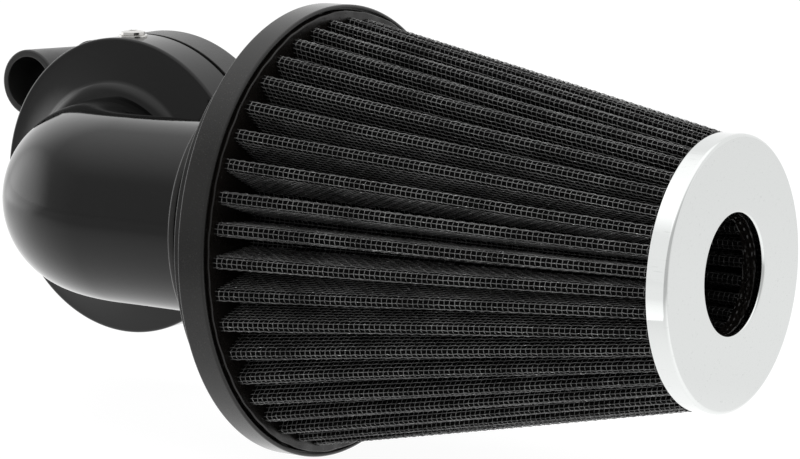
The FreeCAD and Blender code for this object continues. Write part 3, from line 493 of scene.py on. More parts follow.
def black_wire(name, share):
    """Thin baked black coat over steel wire, rubbed through here and there; the rub marks are
    painted near white, so they are painted glints as well as wear.
    """
    finish = Finish(name, metallic=0.35, ior=1.5)
    marks = finish.sheen(0.27, 0.1, 120.0)
    grain = finish.group(CAST_GRAIN, Grain_per_metre=1300.0, Slow_share=1.2)
    # The third grey, 0.95, marks the rubbed-through coat: wear painted bright enough to be
    # painted glints.
    dark, light, bare_and_glint = [(share * grey, share * grey, share * grey * 0.99, 1)
                         for grey in (0.1, 0.2, 0.95)]
    base = blended(finish.tree, grain["Mask"], dark, light)
    wear_and_glints = blended(finish.tree, marks, base, bare_and_glint)
    finish.tree.links.new(wear_and_glints, finish.shader.inputs["Base Color"])
    return finish.material


def oiled_gauze():
    """Black oiled cotton gauze behind the wire: a soft fine weave, almost without shine."""
    finish = Finish("oiled_black_gauze", ior=1.12)
    finish.sheen(0.85, 0.1, 160.0)
    fibre = finish.group(CAST_GRAIN, Grain_per_metre=3600.0, Slow_share=0.3)
    finish.colour(fibre["Mask"], (0.0012, 0.0012, 0.0012), (0.0034, 0.0033, 0.0032))
    finish.relief(fibre["Height"], 0.18)
    return finish.material


def seal_rubber():
    """Dull black rubber with a faint bloom."""
    finish = Finish("black_seal_rubber", ior=1.45)
    finish.sheen(0.6, 0.1)
    bloom = finish.group(SETTLED_DUST, Amount=0.5)
    finish.colour(bloom["Mask"], (0.013, 0.013, 0.013), (0.08, 0.08, 0.08))
    grain = finish.group(CAST_GRAIN, Grain_per_metre=2200.0, Slow_share=0.3)
    finish.relief(grain["Height"], 0.02)
    return finish.material


ENAMEL = gloss_enamel()
CAST = cast_enamel()
URETHANE = moulded_urethane()
# The first, darker colour is the painted shade of the pinholes; the second is the potting's own.
POTTING = poured_urethane("poured_black_potting", (0.0025, 0.0022, 0.0019),
                          (0.0052, 0.0044, 0.0038), 0.26)
CHROME = plated_chrome()
STAINLESS = bright_steel("brushed_stainless", (0.62, 0.61, 0.59), 0.22, 2400.0, 0.01)
PLAIN_STEEL = bright_steel("zinc_plated_steel", (0.5, 0.5, 0.51), 0.3, 1800.0, 0.015)
CLAMP_BLACK = bright_steel("black_clamp_steel", (0.05, 0.05, 0.05), 0.33, 1600.0, 0.02)
WIRE = black_wire("black_screen_wire", 1.0)
# The inner cone's wire is the outer wire at 0.22 of its brightness: painted shade for the hollow
# inside the filter.
INNER_WIRE = black_wire("shaded_inner_screen_wire", 0.22)
GAUZE = oiled_gauze()
RUBBER = seal_rubber()


# ---- elbow: skirt with dome and flare, bent tube with spigot ----
SKIRT_DEPTH = 14.5
SKIRT_WALL = 3.2
ROOF_WALL = 3.0
RIM_ROUNDING = 1.2
DOME_HEIGHT = 6.24
DOME_CURVE = 46.0
SEAM_CHAMFER = 0.4
SEAM_GAP = 1.6
SEAM_GAP_DEPTH = 1.6
TUBE = 30.51
TUBE_WALL = 3.0
FLARE_TOP = TUBE + 1.32
FLARE_WIDTH = 3.7
FLARE_HEIGHT = 2.5
FLARE_CURVE = 6.5
BEND = 34.15
SPIGOT = 38.0
SPIGOT_WALL = 3.0
SPIGOT_TAPER = 8.0
SPIGOT_CHAMFER = 0.4
RIM = SEAM - SKIRT_DEPTH
ROOT = RIM - DOME_HEIGHT
SPIGOT_START = NECK_REAR - 0.3
TAPER_START = SPIGOT_START - SPIGOT_TAPER


def elbow_cover():
    """The skirt, dome and hollow flare: an outline turned about the plate's axis."""
    foot = (ROOT + FLARE_HEIGHT, FLARE_TOP + FLARE_WIDTH)
    rim_end = (RIM, SKIRT - RIM_ROUNDING)
    top = (ROOT, FLARE_TOP)
    corners = [
        (SEAM, SKIRT - SEAM_CHAMFER, 0),
        (SEAM - SEAM_CHAMFER, SKIRT, 0),
        (RIM, SKIRT, RIM_ROUNDING),
        *bulge(rim_end, foot, DOME_CURVE, 10),
        (*foot, 0),
        *bulge(foot, top, -FLARE_CURVE, 8),
        (*top, 0.12),
        (ROOT, TUBE - TUBE_WALL / 2, 0),
        (ROOT + ROOF_WALL, TUBE - TUBE_WALL / 2, 0),
        (ROOT + ROOF_WALL, FLARE_TOP, 0),
        (RIM + ROOF_WALL, SKIRT - SKIRT_WALL, 1.5),
        (SEAM, SKIRT - SKIRT_WALL, 0),
    ]
    return turned(rounded(corners), PLATE_AXIS, 288)


def elbow_limbs():
    """A ring of the wall's outline carried along the bent line, with the spigot's own radii.

    The line stands out from the dome, turns a quarter about the bend's centre and runs along
    the filter's axis. Its outside is the tube's radius up to the taper, a cone there and the
    spigot's radius beyond. The spigot's end has a small chamfer.
    """
    stem = np.linspace(ROOT + ROOF_WALL - 0.05, BEND + AXIS_Y, 3)
    turn = np.linspace(0, math.pi / 2, 49)[1:]
    run = np.concatenate([np.linspace(BEND, TAPER_START, 9)[1:],
                          TAPER_START + np.array([0.25, 0.5]),
                          [SPIGOT_START - 0.25, SPIGOT_START, SPIGOT_START + 0.25,
                           SPIGOT_END - 1.0, SPIGOT_END - SPIGOT_CHAMFER, SPIGOT_END]])
    along = np.concatenate([np.zeros(len(stem)), BEND * (1 - np.cos(turn)), run])
    depth = np.concatenate([stem, AXIS_Y + BEND * (1 - np.sin(turn)),
                            np.full(len(run), AXIS_Y)])
    tilt = np.concatenate([np.zeros(len(stem)), turn, np.full(len(run), math.pi / 2)])
    cone = np.clip((along - TAPER_START) / SPIGOT_TAPER, 0, 1)
    outside = TUBE + (SPIGOT - TUBE) * cone
    inside = TUBE - TUBE_WALL + (SPIGOT - SPIGOT_WALL - TUBE + TUBE_WALL) * cone
    outside[-1] -= SPIGOT_CHAMFER
    angle = np.linspace(0, FULL_TURN, 160, endpoint=False)

    def ring(radius):
        across = radius[:, None] * np.cos(angle)
        up = radius[:, None] * np.sin(angle)
        return np.stack([along[:, None] + across * np.cos(tilt)[:, None],
                         depth[:, None] + across * np.sin(tilt)[:, None], up], -1)

    return np.concatenate([ring(outside), ring(inside)[::-1]])


placed(shells("elbow_casting", [(elbow_cover(), True, True), (elbow_limbs(), True, True)]),
       ENAMEL, "housing", "elbow_black", "elbow")


# ---- backing plate with its breather bosses ----
PILOT = 46.75
PILOT_INSIDE = 43.25
PILOT_END = RIM + ROOF_WALL + 0.2
PLATE_FLOOR = 6.0
REAR_ROUNDING = 1.2
THROTTLE_BORE = 27.0
SEAL_GROOVE = (29.6, 32.0)
SEAL_GROOVE_DEPTH = 2.0
BOSS = 11.64
BOSS_BORE = 9.1
BOSS_SEAT = 18.0
BOSS_OFFSET = BOSS_EDGE - BOSS
BOSS_HEIGHT = 30.07
BOLT_BORE = 6.65
WEB_WIDTH = 16.0
WEB_OVERLAP = 9.0
BOSS_TAPER = 1.7
BOSS_FOOT = 3.0
BOSS_FOOT_FLARE = 1.5
BOSS_AXES = [beside_plate_axis(side * BOSS_OFFSET, BOSS_HEIGHT) for side in (-1, 1)]


def plate_cup():
    """The cup, its pilot ring and its bored floor: an outline turned about the plate's axis."""
    groove_inside, groove_outside = SEAL_GROOVE
    corners = [
        (0, THROTTLE_BORE, 0.4),
        (0, groove_inside, 0),
        (-SEAL_GROOVE_DEPTH, groove_inside, 0),
        (-SEAL_GROOVE_DEPTH, groove_outside, 0),
        (0, groove_outside, 0),
        (0, SKIRT, REAR_ROUNDING),
        (SEAM + SEAM_GAP, SKIRT, 0.25),
        (SEAM + SEAM_GAP, SKIRT - SEAM_GAP_DEPTH, 0),
        (SEAM, SKIRT - SEAM_GAP_DEPTH, 0),
        (SEAM, PILOT, 0),
        (PILOT_END, PILOT, 0.4),
        (PILOT_END, PILOT_INSIDE, 0.4),
        (-PLATE_FLOOR, PILOT_INSIDE, 2.0),
        (-PLATE_FLOOR, THROTTLE_BORE, 0.4),
    ]
    return turned(rounded(corners), PLATE_AXIS, 256)


def breather_boss(axis):
    """A boss with its stepped bore: an outline turned about the boss's axis."""
    corners = [
        (SEAM, BOSS_BORE, 0.5),
        (SEAM, BOSS, 0.9),
        (BOSS_REACH - BOSS_FOOT - BOSS_FOOT_FLARE, BOSS - BOSS_TAPER, 1.0),
        (BOSS_REACH - BOSS_FOOT, BOSS, 0.4),
        (BOSS_REACH, BOSS, 0.7),
        (BOSS_REACH, BOLT_BORE, 0.3),
        (BOSS_SEAT, BOLT_BORE, 0),
        (BOSS_SEAT, BOSS_BORE, 0),
    ]
    return turned(rounded(corners), axis, 96)


def boss_web(side):
    """A web from the floor to a boss: a rounded oblong carried through the floor's thickness."""
    inner, outer = PILOT_INSIDE - WEB_OVERLAP, BOSS_OFFSET
    low, high = BOSS_HEIGHT - WEB_WIDTH / 2, BOSS_HEIGHT + WEB_WIDTH / 2
    rim = rounded([(inner, low, 1), (outer, low, 1), (outer, high, 1), (inner, high, 1)])
    middle = rim.mean(0)
    levels = [(-0.05, 0.0), (-0.05, 0.93), (-0.15, 0.985), (-0.4, 1.0),
              (-PLATE_FLOOR + 0.4, 1.0), (-PLATE_FLOOR + 0.15, 0.985),
              (-PLATE_FLOOR + 0.05, 0.93), (-PLATE_FLOOR + 0.05, 0.0)]
    rows = [np.column_stack([side * (middle[0] + (rim[:, 0] - middle[0]) * share),
                             np.full(len(rim), level),
                             middle[1] + (rim[:, 1] - middle[1]) * share])
            for level, share in levels]
    return np.array(rows)


placed(shells("backing_plate_casting",
              [(plate_cup(), True, True),
               *((breather_boss(axis), True, True) for axis in BOSS_AXES),
               *((boss_web(side), False, True) for side in (-1, 1))]),
       CAST, "housing", "housing_black", "backing_plate", "breather_bosses")


# ---- screws, bolts and washers ----
def hexagon(angle):
    """The distance of a hexagon's edge from its middle at each angle, for a half width of 1."""
    sixth = math.pi / 3
    return 1 / np.cos((angle % sixth) - sixth / 2)


def screw(axis, outline, hexness, thread=None, steps=48):
    """An outline turned about a screw's axis, from its tip to the middle of its socket.

    hexness, 0 to 1 at each point, swells a circle to a hexagon. thread = (start, end, pitch,
    depth) cuts a helix: the radius falls by depth times a triangle wave of along / pitch
    less angle / turn.
    """
    share = np.array(hexness, float)[:, None]

    def swell(along, radius, angle):
        more = radius * share * (hexagon(angle) - 1)
        if thread:
            start, end, pitch, depth = thread
            turn = (along / pitch - angle / FULL_TURN) % 1
            groove = np.abs(2 * turn - 1)
            more = more - depth * groove * ((along > start) & (along < end))
        return 0 * more, more

    return turned(outline, axis, steps, swell)


def threaded_run(start, end, radius, pitch):
    """Outline points along a threaded stretch, six to a turn of the thread."""
    count = int(round(abs(end - start) / pitch * 6)) + 1
    return [(along, radius) for along in np.linspace(start, end, count)]


def with_socket(plain, socket):
    """Outline and hexness arrays: plain points, then socket points on a hexagon."""
    outline = np.array(plain + socket, float)
    return outline, [0] * len(plain) + [1] * (len(socket) - 1) + [0]


# Heads are (radius, height), sockets (half width, depth), shanks (radius, length), threads
# (radius, pitch, depth) and washers (bore, radius, thickness).
THROTTLE_PITCH = 36.0
THROTTLE_HEAD = (5.0, 6.0)
THROTTLE_SOCKET = (2.5, 3.0)
THROTTLE_SCREW_REACH = 16.0
THROTTLE_THREAD = (2.95, 1.0, 0.55)
THROTTLE_WASHER = (3.3, 5.9, 1.2)
COVER_HEAD = (4.1, 1.6)
COVER_RIM = 1.0
COVER_SOCKET = (1.3, 1.5)
COVER_SHANK = (2.4, 8.6)
COVER_WASHER = (2.7, 4.85, 0.8)
COVER_LINE = SEAM - SKIRT_DEPTH / 2
COVER_SPOT = SKIRT - 0.3
BREATHER_HEAD = (7.9, 8.0)
BREATHER_SOCKET = (4.0, 5.0)
BREATHER_THREAD = (6.25, 1.954, 1.0)
BREATHER_WASHER = (BOLT_BORE, 8.8, 1.6)
BREATHER_SHANK = 6.35
BREATHER_SEAL = 1.6
BREATHER_END = BOSS_REACH + BREATHER_SEAL + 20.0
GAS_PASSAGE = 2.6


def washer(axis, seat, size, way):
    """A flat washer with softened edges; way, 1 or -1, is the seat's side that it lies on."""
    inside, outside, thickness = size
    soft = 0.12
    top = seat + way * thickness
    corners = [(seat, inside, soft), (seat, outside, soft), (top, outside, soft),
               (top, inside, soft)]
    return turned(rounded(corners, steps=2), axis, 64)


def washers(name, axes, seat, size, way):
    """A mesh of one washer on each axis."""
    return shells(name, [(washer(axis, seat, size, way), True, True) for axis in axes])


def throttle_axes():
    """Axes of the three screws into the throttle body."""
    turns = np.arange(3) * FULL_TURN / 3
    return [beside_plate_axis(THROTTLE_PITCH * math.cos(turn), THROTTLE_PITCH * math.sin(turn))
            for turn in turns]


def cover_axes():
    """Axes of the three button head screws round the skirt, pointing outwards."""
    turns = math.pi / 2 + np.arange(3) * FULL_TURN / 3
    return [(np.array([0, COVER_LINE, 0]),
             np.array([math.cos(turn), 0, math.sin(turn)]), np.array([0, 1.0, 0]))
            for turn in turns]


def throttle_screw(axis):
    """A cap screw: threaded shank, head with soft edges, hexagon socket."""
    radius, height = THROTTLE_HEAD
    half, depth = THROTTLE_SOCKET
    shank, pitch, thread_depth = THROTTLE_THREAD
    tip = THROTTLE_SCREW_REACH
    seat = -PLATE_FLOOR - THROTTLE_WASHER[2]
    top = seat - height
    plain = [(tip, 0), (tip, shank - 0.75), (tip - 0.6, shank - 0.05),
             *threaded_run(tip - 0.8, 0.2, shank, pitch),
             (0.1, shank), (seat, shank), (seat, radius), (top + 0.5, radius),
             (top + 0.15, radius - 0.15), (top, radius - 0.5)]
    socket = [(top, half + 0.1), (top + 0.15, half), (top + depth, half), (top + depth, 0)]
    return screw(axis, *with_socket(plain, socket), (0.2, tip - 0.7, pitch, thread_depth))


def cover_screw(axis):
    """A button head screw: shank, straight rim, a crown on a circle's arc, hexagon socket."""
    radius, height = COVER_HEAD
    half, depth = COVER_SOCKET
    shank, length = COVER_SHANK
    seat = COVER_SPOT + COVER_WASHER[2]
    crown = height - COVER_RIM
    curve = (radius ** 2 + crown ** 2) / (2 * crown)
    across = np.linspace(radius, half + 0.25, 9)
    along = seat + height - curve + np.sqrt(curve ** 2 - across ** 2)
    plain = [(seat - length, 0), (seat - length, shank - 0.4), (seat - length + 0.4, shank),
             (seat, shank), (seat, radius - 0.12), (seat + 0.12, radius),
             *zip(along, across)]
    top = along[-1]
    socket = [(top, half + 0.12), (top - 0.12, half), (top - depth, half), (top - depth, 0)]
    return screw(axis, *with_socket(plain, socket))


def breather_bolt(axis):
    """A hollow bolt: threaded shank, head with a hexagon socket, gas passage right through."""
    radius, height = BREATHER_HEAD
    half, depth = BREATHER_SOCKET
    thread, pitch, thread_depth = BREATHER_THREAD
    tip = BREATHER_END
    seat = BOSS_SEAT - BREATHER_WASHER[2]
    top = seat - height
    start = BOSS_REACH + BREATHER_SEAL
    plain = [(tip, GAS_PASSAGE), (tip, thread - 0.95), (tip - 0.9, thread - 0.05),
             *threaded_run(tip - 1.1, start + 0.2, thread, pitch),
             (start, thread), (start, BREATHER_SHANK), (seat, BREATHER_SHANK), (seat, radius),
             (top + 0.6, radius), (top + 0.2, radius - 0.2), (top, radius - 0.6)]
    socket = [(top, half + 0.15), (top + 0.2, half), (top + depth, half),
              (top + depth, GAS_PASSAGE)]
    return screw(axis, *with_socket(plain, socket),
                 (start + 0.2, tip - 1.0, pitch, thread_depth))


placed(shells("throttle_cap_screws",
              [(throttle_screw(axis), False, True) for axis in throttle_axes()]),
       PLAIN_STEEL, "housing", "plain_steel", "throttle_screws")
placed(washers("throttle_cap_washers", throttle_axes(), -PLATE_FLOOR, THROTTLE_WASHER, -1),
       PLAIN_STEEL, "housing", "plain_steel", "throttle_screw_washers")
placed(shells("cover_button_screws",
              [(cover_screw(axis), False, True) for axis in cover_axes()]),
       STAINLESS, "housing", "stainless", "cover_screws")
placed(washers("cover_screw_flat_washers", cover_axes(), COVER_SPOT, COVER_WASHER, 1),
       STAINLESS, "housing", "stainless", "cover_screw_washers")
placed(shells("breather_hollow_bolts",
              [(breather_bolt(axis), True, True) for axis in BOSS_AXES]),
       PLAIN_STEEL, "housing", "plain_steel", "breather_bolts")
placed(washers("breather_flat_washers", BOSS_AXES, BOSS_SEAT, BREATHER_WASHER, -1),
       PLAIN_STEEL, "housing", "plain_steel", "breather_washers")


# ---- moulded base and its potting ----
NECK_BORE = 38.3
NECK = 42.2
BEAD = 43.5
BEAD_WIDTH = 3.1
PEDESTAL = FLANGE - 8.0
FLANGE_REAR = FLANGE_FRONT - 9.3
PEDESTAL_REAR = FLANGE_REAR - 7.6
FLANGE_ROUNDING = 0.75
CHANNEL = FLANGE - 1.1
CHANNEL_FLOOR = FLANGE_FRONT - 4.0
DAM = 44.4
DAM_WIDTH = 2.2
THROAT = 34.6
THROAT_LENGTH = 3.4
THROAT_REAR = FLANGE_REAR - 1.7
POTTING_EDGE = CHANNEL - 0.8
GROOVE_FLOOR = FLANGE_FRONT - 2.2
POTTING_ROUNDING = 0.35


def base_moulding():
    """Neck, pedestal and flange with the potting channel: one outline round the filter's axis."""
    corners = [
        (NECK_REAR, NECK_BORE, 0.5),
        (NECK_REAR, BEAD, 1.4),
        (NECK_REAR + BEAD_WIDTH, BEAD, 0.9),
        (NECK_REAR + BEAD_WIDTH, NECK, 0.5),
        (PEDESTAL_REAR, NECK, 0.8),
        (PEDESTAL_REAR, PEDESTAL, 0.7),
        (FLANGE_REAR, PEDESTAL, 0.5),
        (FLANGE_REAR, FLANGE, FLANGE_ROUNDING),
        (FLANGE_FRONT, FLANGE, FLANGE_ROUNDING),
        (FLANGE_FRONT, CHANNEL, 0.12),
        (CHANNEL_FLOOR, CHANNEL, 0),
        (CHANNEL_FLOOR, DAM, 0),
        (FLANGE_FRONT, DAM, 0.4),
        (FLANGE_FRONT, DAM - DAM_WIDTH, 0.4),
        (THROAT_REAR + THROAT_LENGTH, THROAT, 1.2),
        (THROAT_REAR, THROAT, 0),
        (THROAT_REAR, NECK_BORE, 0),
    ]
    return turned(rounded(corners), FILTER_AXIS, 320)


def uneven(angle, share):
    """A small unevenness of a hand's pour round the axis: four sine waves of uneven count."""
    return share * (np.sin(7 * angle + 0.6) * 0.35 + np.sin(17 * angle + 2.1) * 0.25
                    + np.sin(31 * angle + 4.0) * 0.25 + np.sin(53 * angle + 1.3) * 0.2)


def base_potting():
    """Poured potting in the channel, whose free edge and skin are slightly uneven."""
    corners = [
        (CHANNEL_FLOOR, DAM, 0),
        (CHANNEL_FLOOR, CHANNEL, 0),
        (GROOVE_FLOOR, CHANNEL, 0),
        (GROOVE_FLOOR, POTTING_EDGE, 0.4),
        (MEDIA_BASE, POTTING_EDGE, POTTING_ROUNDING),
        (MEDIA_BASE, CREST_BASE - 0.3, 0),
        (MEDIA_BASE, DAM, 0),
    ]

    def swell(along, radius, angle):
        free = (along > GROOVE_FLOOR + 0.2) & (radius > CREST_BASE - 1)
        edge = free * np.clip((radius - CREST_BASE + 0.6) / 2, 0, 1)
        return uneven(angle, 0.28) * free, uneven(angle + 1.0, 0.24) * edge

    return turned(rounded(corners), FILTER_AXIS, 480, swell)


placed(shells("base_moulding", [(base_moulding(), True, True)]),
       URETHANE, "filter", "moulded_urethane", "base_flange")
placed(shells("base_potting_pour", [(base_potting(), True, True)]),
       POTTING, "filter", "potting_urethane", "base_potting")


# ---- chrome ring, its potting and the inner cone's cap ----
RING_WALL = 1.1
RING_FACE = 2.7
RING_ROUNDING = 1.1
MOUTH = 17.66
MOUTH_ROUNDING = 0.9
COLLAR_BORE = 17.9
RING_BACK_FACE = RING_FRONT - RING_FACE
COLLAR_OUTSIDE = 27.3


def chrome_ring():
    """The pressed ring: side wall, face with a rolled edge, and the mouth's rolled edge."""
    corners = [
        (MEDIA_TIP, RING - RING_WALL, 0.2),
        (MEDIA_TIP, RING, 0.35),
        (RING_FRONT, RING, RING_ROUNDING),
        (RING_FRONT, MOUTH, MOUTH_ROUNDING),
        (RING_BACK_FACE, MOUTH, 0.2),
        (RING_BACK_FACE, RING - RING_WALL, 0.3),
    ]
    return turned(rounded(corners, steps=8), FILTER_AXIS, 320)


def end_potting():
    """The potting inside the ring, with a collar between the cones and an uneven bore."""
    corners = [
        (COLLAR_REAR, COLLAR_BORE, 0.4),
        (COLLAR_REAR, COLLAR_OUTSIDE, 0.4),
        (MEDIA_TIP, COLLAR_OUTSIDE, 0.4),
        (MEDIA_TIP, RING - RING_WALL, 0),
        (RING_BACK_FACE, RING - RING_WALL, 0),
        (RING_BACK_FACE, COLLAR_BORE, 0.3),
    ]
    bore = rounded(corners)
    extra = np.column_stack([np.linspace(RING_BACK_FACE - 1, COLLAR_REAR + 1, 9),
                             np.full(9, COLLAR_BORE)])

    def swell(along, radius, angle):
        free = np.clip(COLLAR_BORE + 1 - radius, 0, 1)
        return 0 * radius, -free * (uneven(angle + along * 0.5, 0.22) + 0.1)

    return turned(np.concatenate([bore, extra]), FILTER_AXIS, 240, swell)


def inner_cap():
    """The moulded cap on the inner cone's small end: a rounded disc."""
    corners = [(cap_low[0], 0, 0), (cap_low[0], cap_high[2], 1.2),
               (cap_high[0], cap_high[2], 1.0), (cap_high[0], 0, 0)]
    return turned(rounded(corners, closed=False), FILTER_AXIS, 96)


placed(shells("chrome_end_ring", [(chrome_ring(), True, True)]),
       CHROME, "filter", "chrome", "chrome_ring")
placed(shells("end_potting_pour", [(end_potting(), True, True)]),
       POTTING, "filter", "potting_urethane", "end_potting")
placed(shells("inner_cone_cap", [(inner_cap(), False, True)]),
       URETHANE, "filter", "moulded_urethane", "inner_end_cap")


# ---- pleats: gauze between two screens of woven wire ----
# The wires' middle lies WIRE_DEPTH under the pleats' face, and deeper by SIDE_SINK where wires
# cross the pleats' sides. A cone's "facing" is 1 where its crests point away from the axis and
# -1 where they point to it. Its "ends" are places along the axis, and the pairs for crest,
# valley and their widths are for those two ends. "camber" is how far the crest's shoulders lie
# under its middle, "bends" are the radii at shoulder and valley, and "gauze" and "back" are
# the heights of both faces of the gauze and of the screen behind it.
WIRE_PITCH = 1.5875
WIRE_RADIUS = 0.14
WIRE_DEPTH = 0.16
SIDE_SINK = 0.16
CROSSING_SHARE = 0.95
WIRE_OVERRUN = (-0.004, 1.006)
CLOTH_OVERRUN = (-0.004, 1.004)
OUTER = {
    "count": 42, "facing": 1, "ends": (MEDIA_BASE, MEDIA_TIP),
    "crest": (CREST_BASE, RING - 0.4), "valley": (CREST_BASE - 18.5, 28.84),
    "crest_width": (3.9, 3.5), "valley_width": (1.6, 1.0), "camber": 0.45,
    "bends": (1.15, 0.5), "wobble": 0.3,
    "gauze": (-0.36, -1.15), "back": (-1.2, -1.45),
}
INNER = {
    "count": 22, "facing": -1, "ends": (COLLAR_REAR, inner_low[0]),
    "crest": (COLLAR_BORE, COLLAR_BORE * 0.64), "valley": (25.9, 25.9 * 0.64),
    "crest_width": (3.0, 2.0), "valley_width": (1.6, 1.0), "camber": 0.2,
    "bends": (0.8, 0.4), "wobble": 0.15,
    "gauze": (-0.34, -0.9), "back": (-0.95, -1.15),
}


def along_fold(travel, corners, bends):
    """Points and left-hand normals at arc lengths along straight sides with rounded corners.

    travel is (rows, columns), each corner (rows, 1, 2). A straight side's point is its start
    plus travel times its direction; on a bend the point turns about the bend's centre.
    """
    sides = [end - start for start, end in zip(corners, corners[1:])]
    lengths = [np.linalg.norm(side, axis=-1, keepdims=True) for side in sides]
    ways = [side / length for side, length in zip(sides, lengths)]
    point = np.zeros(travel.shape + (2,))
    way = np.zeros(travel.shape + (2,))
    begun = np.zeros_like(lengths[0])
    trimmed = np.zeros_like(lengths[0])
    travel = travel[..., None]
    for index, (start, length, straight) in enumerate(zip(corners, lengths, ways)):
        here = start + straight * (trimmed + travel - begun)
        on_side = travel >= begun
        point = np.where(on_side, here, point)
        way = np.where(on_side, straight, way)
        if index == len(sides) - 1:
            total = begun + length - trimmed
            break
        following = ways[index + 1]
        turn = np.arctan2(straight[..., :1] * following[..., 1:]
                          - straight[..., 1:] * following[..., :1],
                          (straight * following).sum(-1, keepdims=True))
        bend = bends[index]
        cut = bend * np.tan(np.abs(turn) / 2)
        begun = begun + length - trimmed - cut
        left = np.concatenate([-straight[..., 1:], straight[..., :1]], -1)
        centre = corners[index + 1] - straight * cut + left * bend * np.sign(turn)
        swing = np.clip((travel - begun) / bend, 0, np.abs(turn)) * np.sign(turn)
        turned_way = straight * np.cos(swing) + left * np.sin(swing)
        turned_left = np.concatenate([-turned_way[..., 1:], turned_way[..., :1]], -1)
        on_bend = travel >= begun
        point = np.where(on_bend, centre - turned_left * bend * np.sign(turn), point)
        way = np.where(on_bend, turned_way, way)
        begun = begun + bend * np.abs(turn)
        trimmed = cut
    normal = np.concatenate([-way[..., 1:], way[..., :1]], -1)
    return point, normal, total[..., 0]


def between(pair, share):
    """A straight change from the first to the second of a pair."""
    return pair[0] + (pair[1] - pair[0]) * share


def pleat_corners(cone, share):
    """Crest middle, shoulder, valley corner and valley middle of half a pleat, (rows, 1, 2) each.

    The first coordinate runs sideways, the second outwards from the cloth.
    """
    facing = cone["facing"]
    half_turn = math.pi / cone["count"]
    crest, valley = between(cone["crest"], share), between(cone["valley"], share)
    shoulder = between(cone["crest_width"], share) / 2
    gap = between(cone["valley_width"], share) / 2
    sine, cosine = math.sin(half_turn), math.cos(half_turn)
    corners = [(0 * share, facing * crest),
               (shoulder, facing * crest - cone["camber"]),
               (valley * sine - gap * cosine, facing * valley * cosine + facing * gap * sine),
               (valley * sine, facing * valley * cosine)]
    return [np.stack([across + 0 * share, up + 0 * share], -1) for across, up in corners]


def half_length(cone, share):
    """Arc length from the crest's middle to the valley's middle, (rows, 1)."""
    return along_fold(np.zeros_like(share), pleat_corners(cone, share), cone["bends"])[2]


def on_pleats(cone, share, travel, pleat, lift):
    """Points, outward normals and sideways directions on a pleated cone, (rows, columns, 3).

    travel is the signed arc length from pleat's crest, share the way from the base to the
    tip, lift the height over the cloth. Each pleat leans and sinks by slow sine waves that
    fade out at the valleys.
    """
    half = half_length(cone, share)
    point, normal, _ = along_fold(np.abs(travel), pleat_corners(cone, share), cone["bends"])
    sign = np.where(travel < 0, -1.0, 1.0)
    fade = np.clip(1 - np.abs(travel) / half, 0, 1)
    wobble = cone["wobble"]
    lean = wobble * (np.sin(2.4 * pleat + 3.1 * share) * 0.6
                     + np.sin(5.3 * pleat - 7.0 * share) * 0.4)
    sink = wobble * (0.5 + 0.5 * np.sin(3.7 * pleat + 4.3 * share + 1.0)) * 0.7
    across = sign * point[..., 0] + lean * fade + sign * normal[..., 0] * lift
    up = point[..., 1] - sink * fade + normal[..., 1] * lift
    radius = cone["facing"] * up
    turn = FULL_TURN * pleat / cone["count"] + 0 * share
    outwards = np.stack([0 * turn, np.cos(turn), np.sin(turn)], -1)
    sideways = np.stack([0 * turn, -np.sin(turn), np.cos(turn)], -1)
    along = between(cone["ends"], share) + 0 * turn
    points = radius[..., None] * outwards + across[..., None] * sideways
    points = points + np.stack([along, np.full_like(along, AXIS_Y), 0 * along], -1)
    normals = ((sign * normal[..., 0])[..., None] * sideways
               + (cone["facing"] * normal[..., 1])[..., None] * outwards)
    return points, normals, np.cross(normals, np.array([1.0, 0, 0]))


def tubes(centres, rises, sides, joined):
    """Thin three-sided tubes through nodes, as points and triangles.

    Each node has a ring of three points: centre plus radius times (cosine of the corner's
    angle times rise plus sine times side). joined says which steps down the columns are
    drawn, where the last row's step leads back to the first; an end beside a step that isn't
    drawn is closed by one triangle.
    """
    rows, columns = centres.shape[:2]
    corner = np.arange(3) * FULL_TURN / 3
    ring = (centres[:, :, None] + WIRE_RADIUS
            * (np.cos(corner)[:, None] * rises[:, :, None]
               + np.sin(corner)[:, None] * sides[:, :, None]))
    number = np.arange(rows * columns).reshape(rows, columns) * 3
    following = np.roll(number, -1, 0)
    first, second = number[joined], following[joined]
    walls = []
    for step in range(3):
        beside = (step + 1) % 3
        walls.append(np.stack([first + step, first + beside, second + beside], -1))
        walls.append(np.stack([first + step, second + beside, second + step], -1))
    before = np.roll(joined, 1, 0)
    opens, ends = joined & ~before, joined & ~np.roll(joined, -1, 0)
    walls.append(number[opens][:, None] + np.array([0, 2, 1]))
    walls.append(following[ends][:, None] + np.array([0, 1, 2]))
    return ring.reshape(-1, 3), np.concatenate(walls)


def wire_piece(name, points, faces, finish, node):
    """A mesh of the points that the faces use, as a piece of woven screen."""
    used, renumbered = np.unique(faces, return_inverse=True)
    mesh = filled(name, points[used], renumbered.reshape(faces.shape))
    mesh.shade_smooth()
    placed(mesh, finish, "filter", "screen_wire", node)


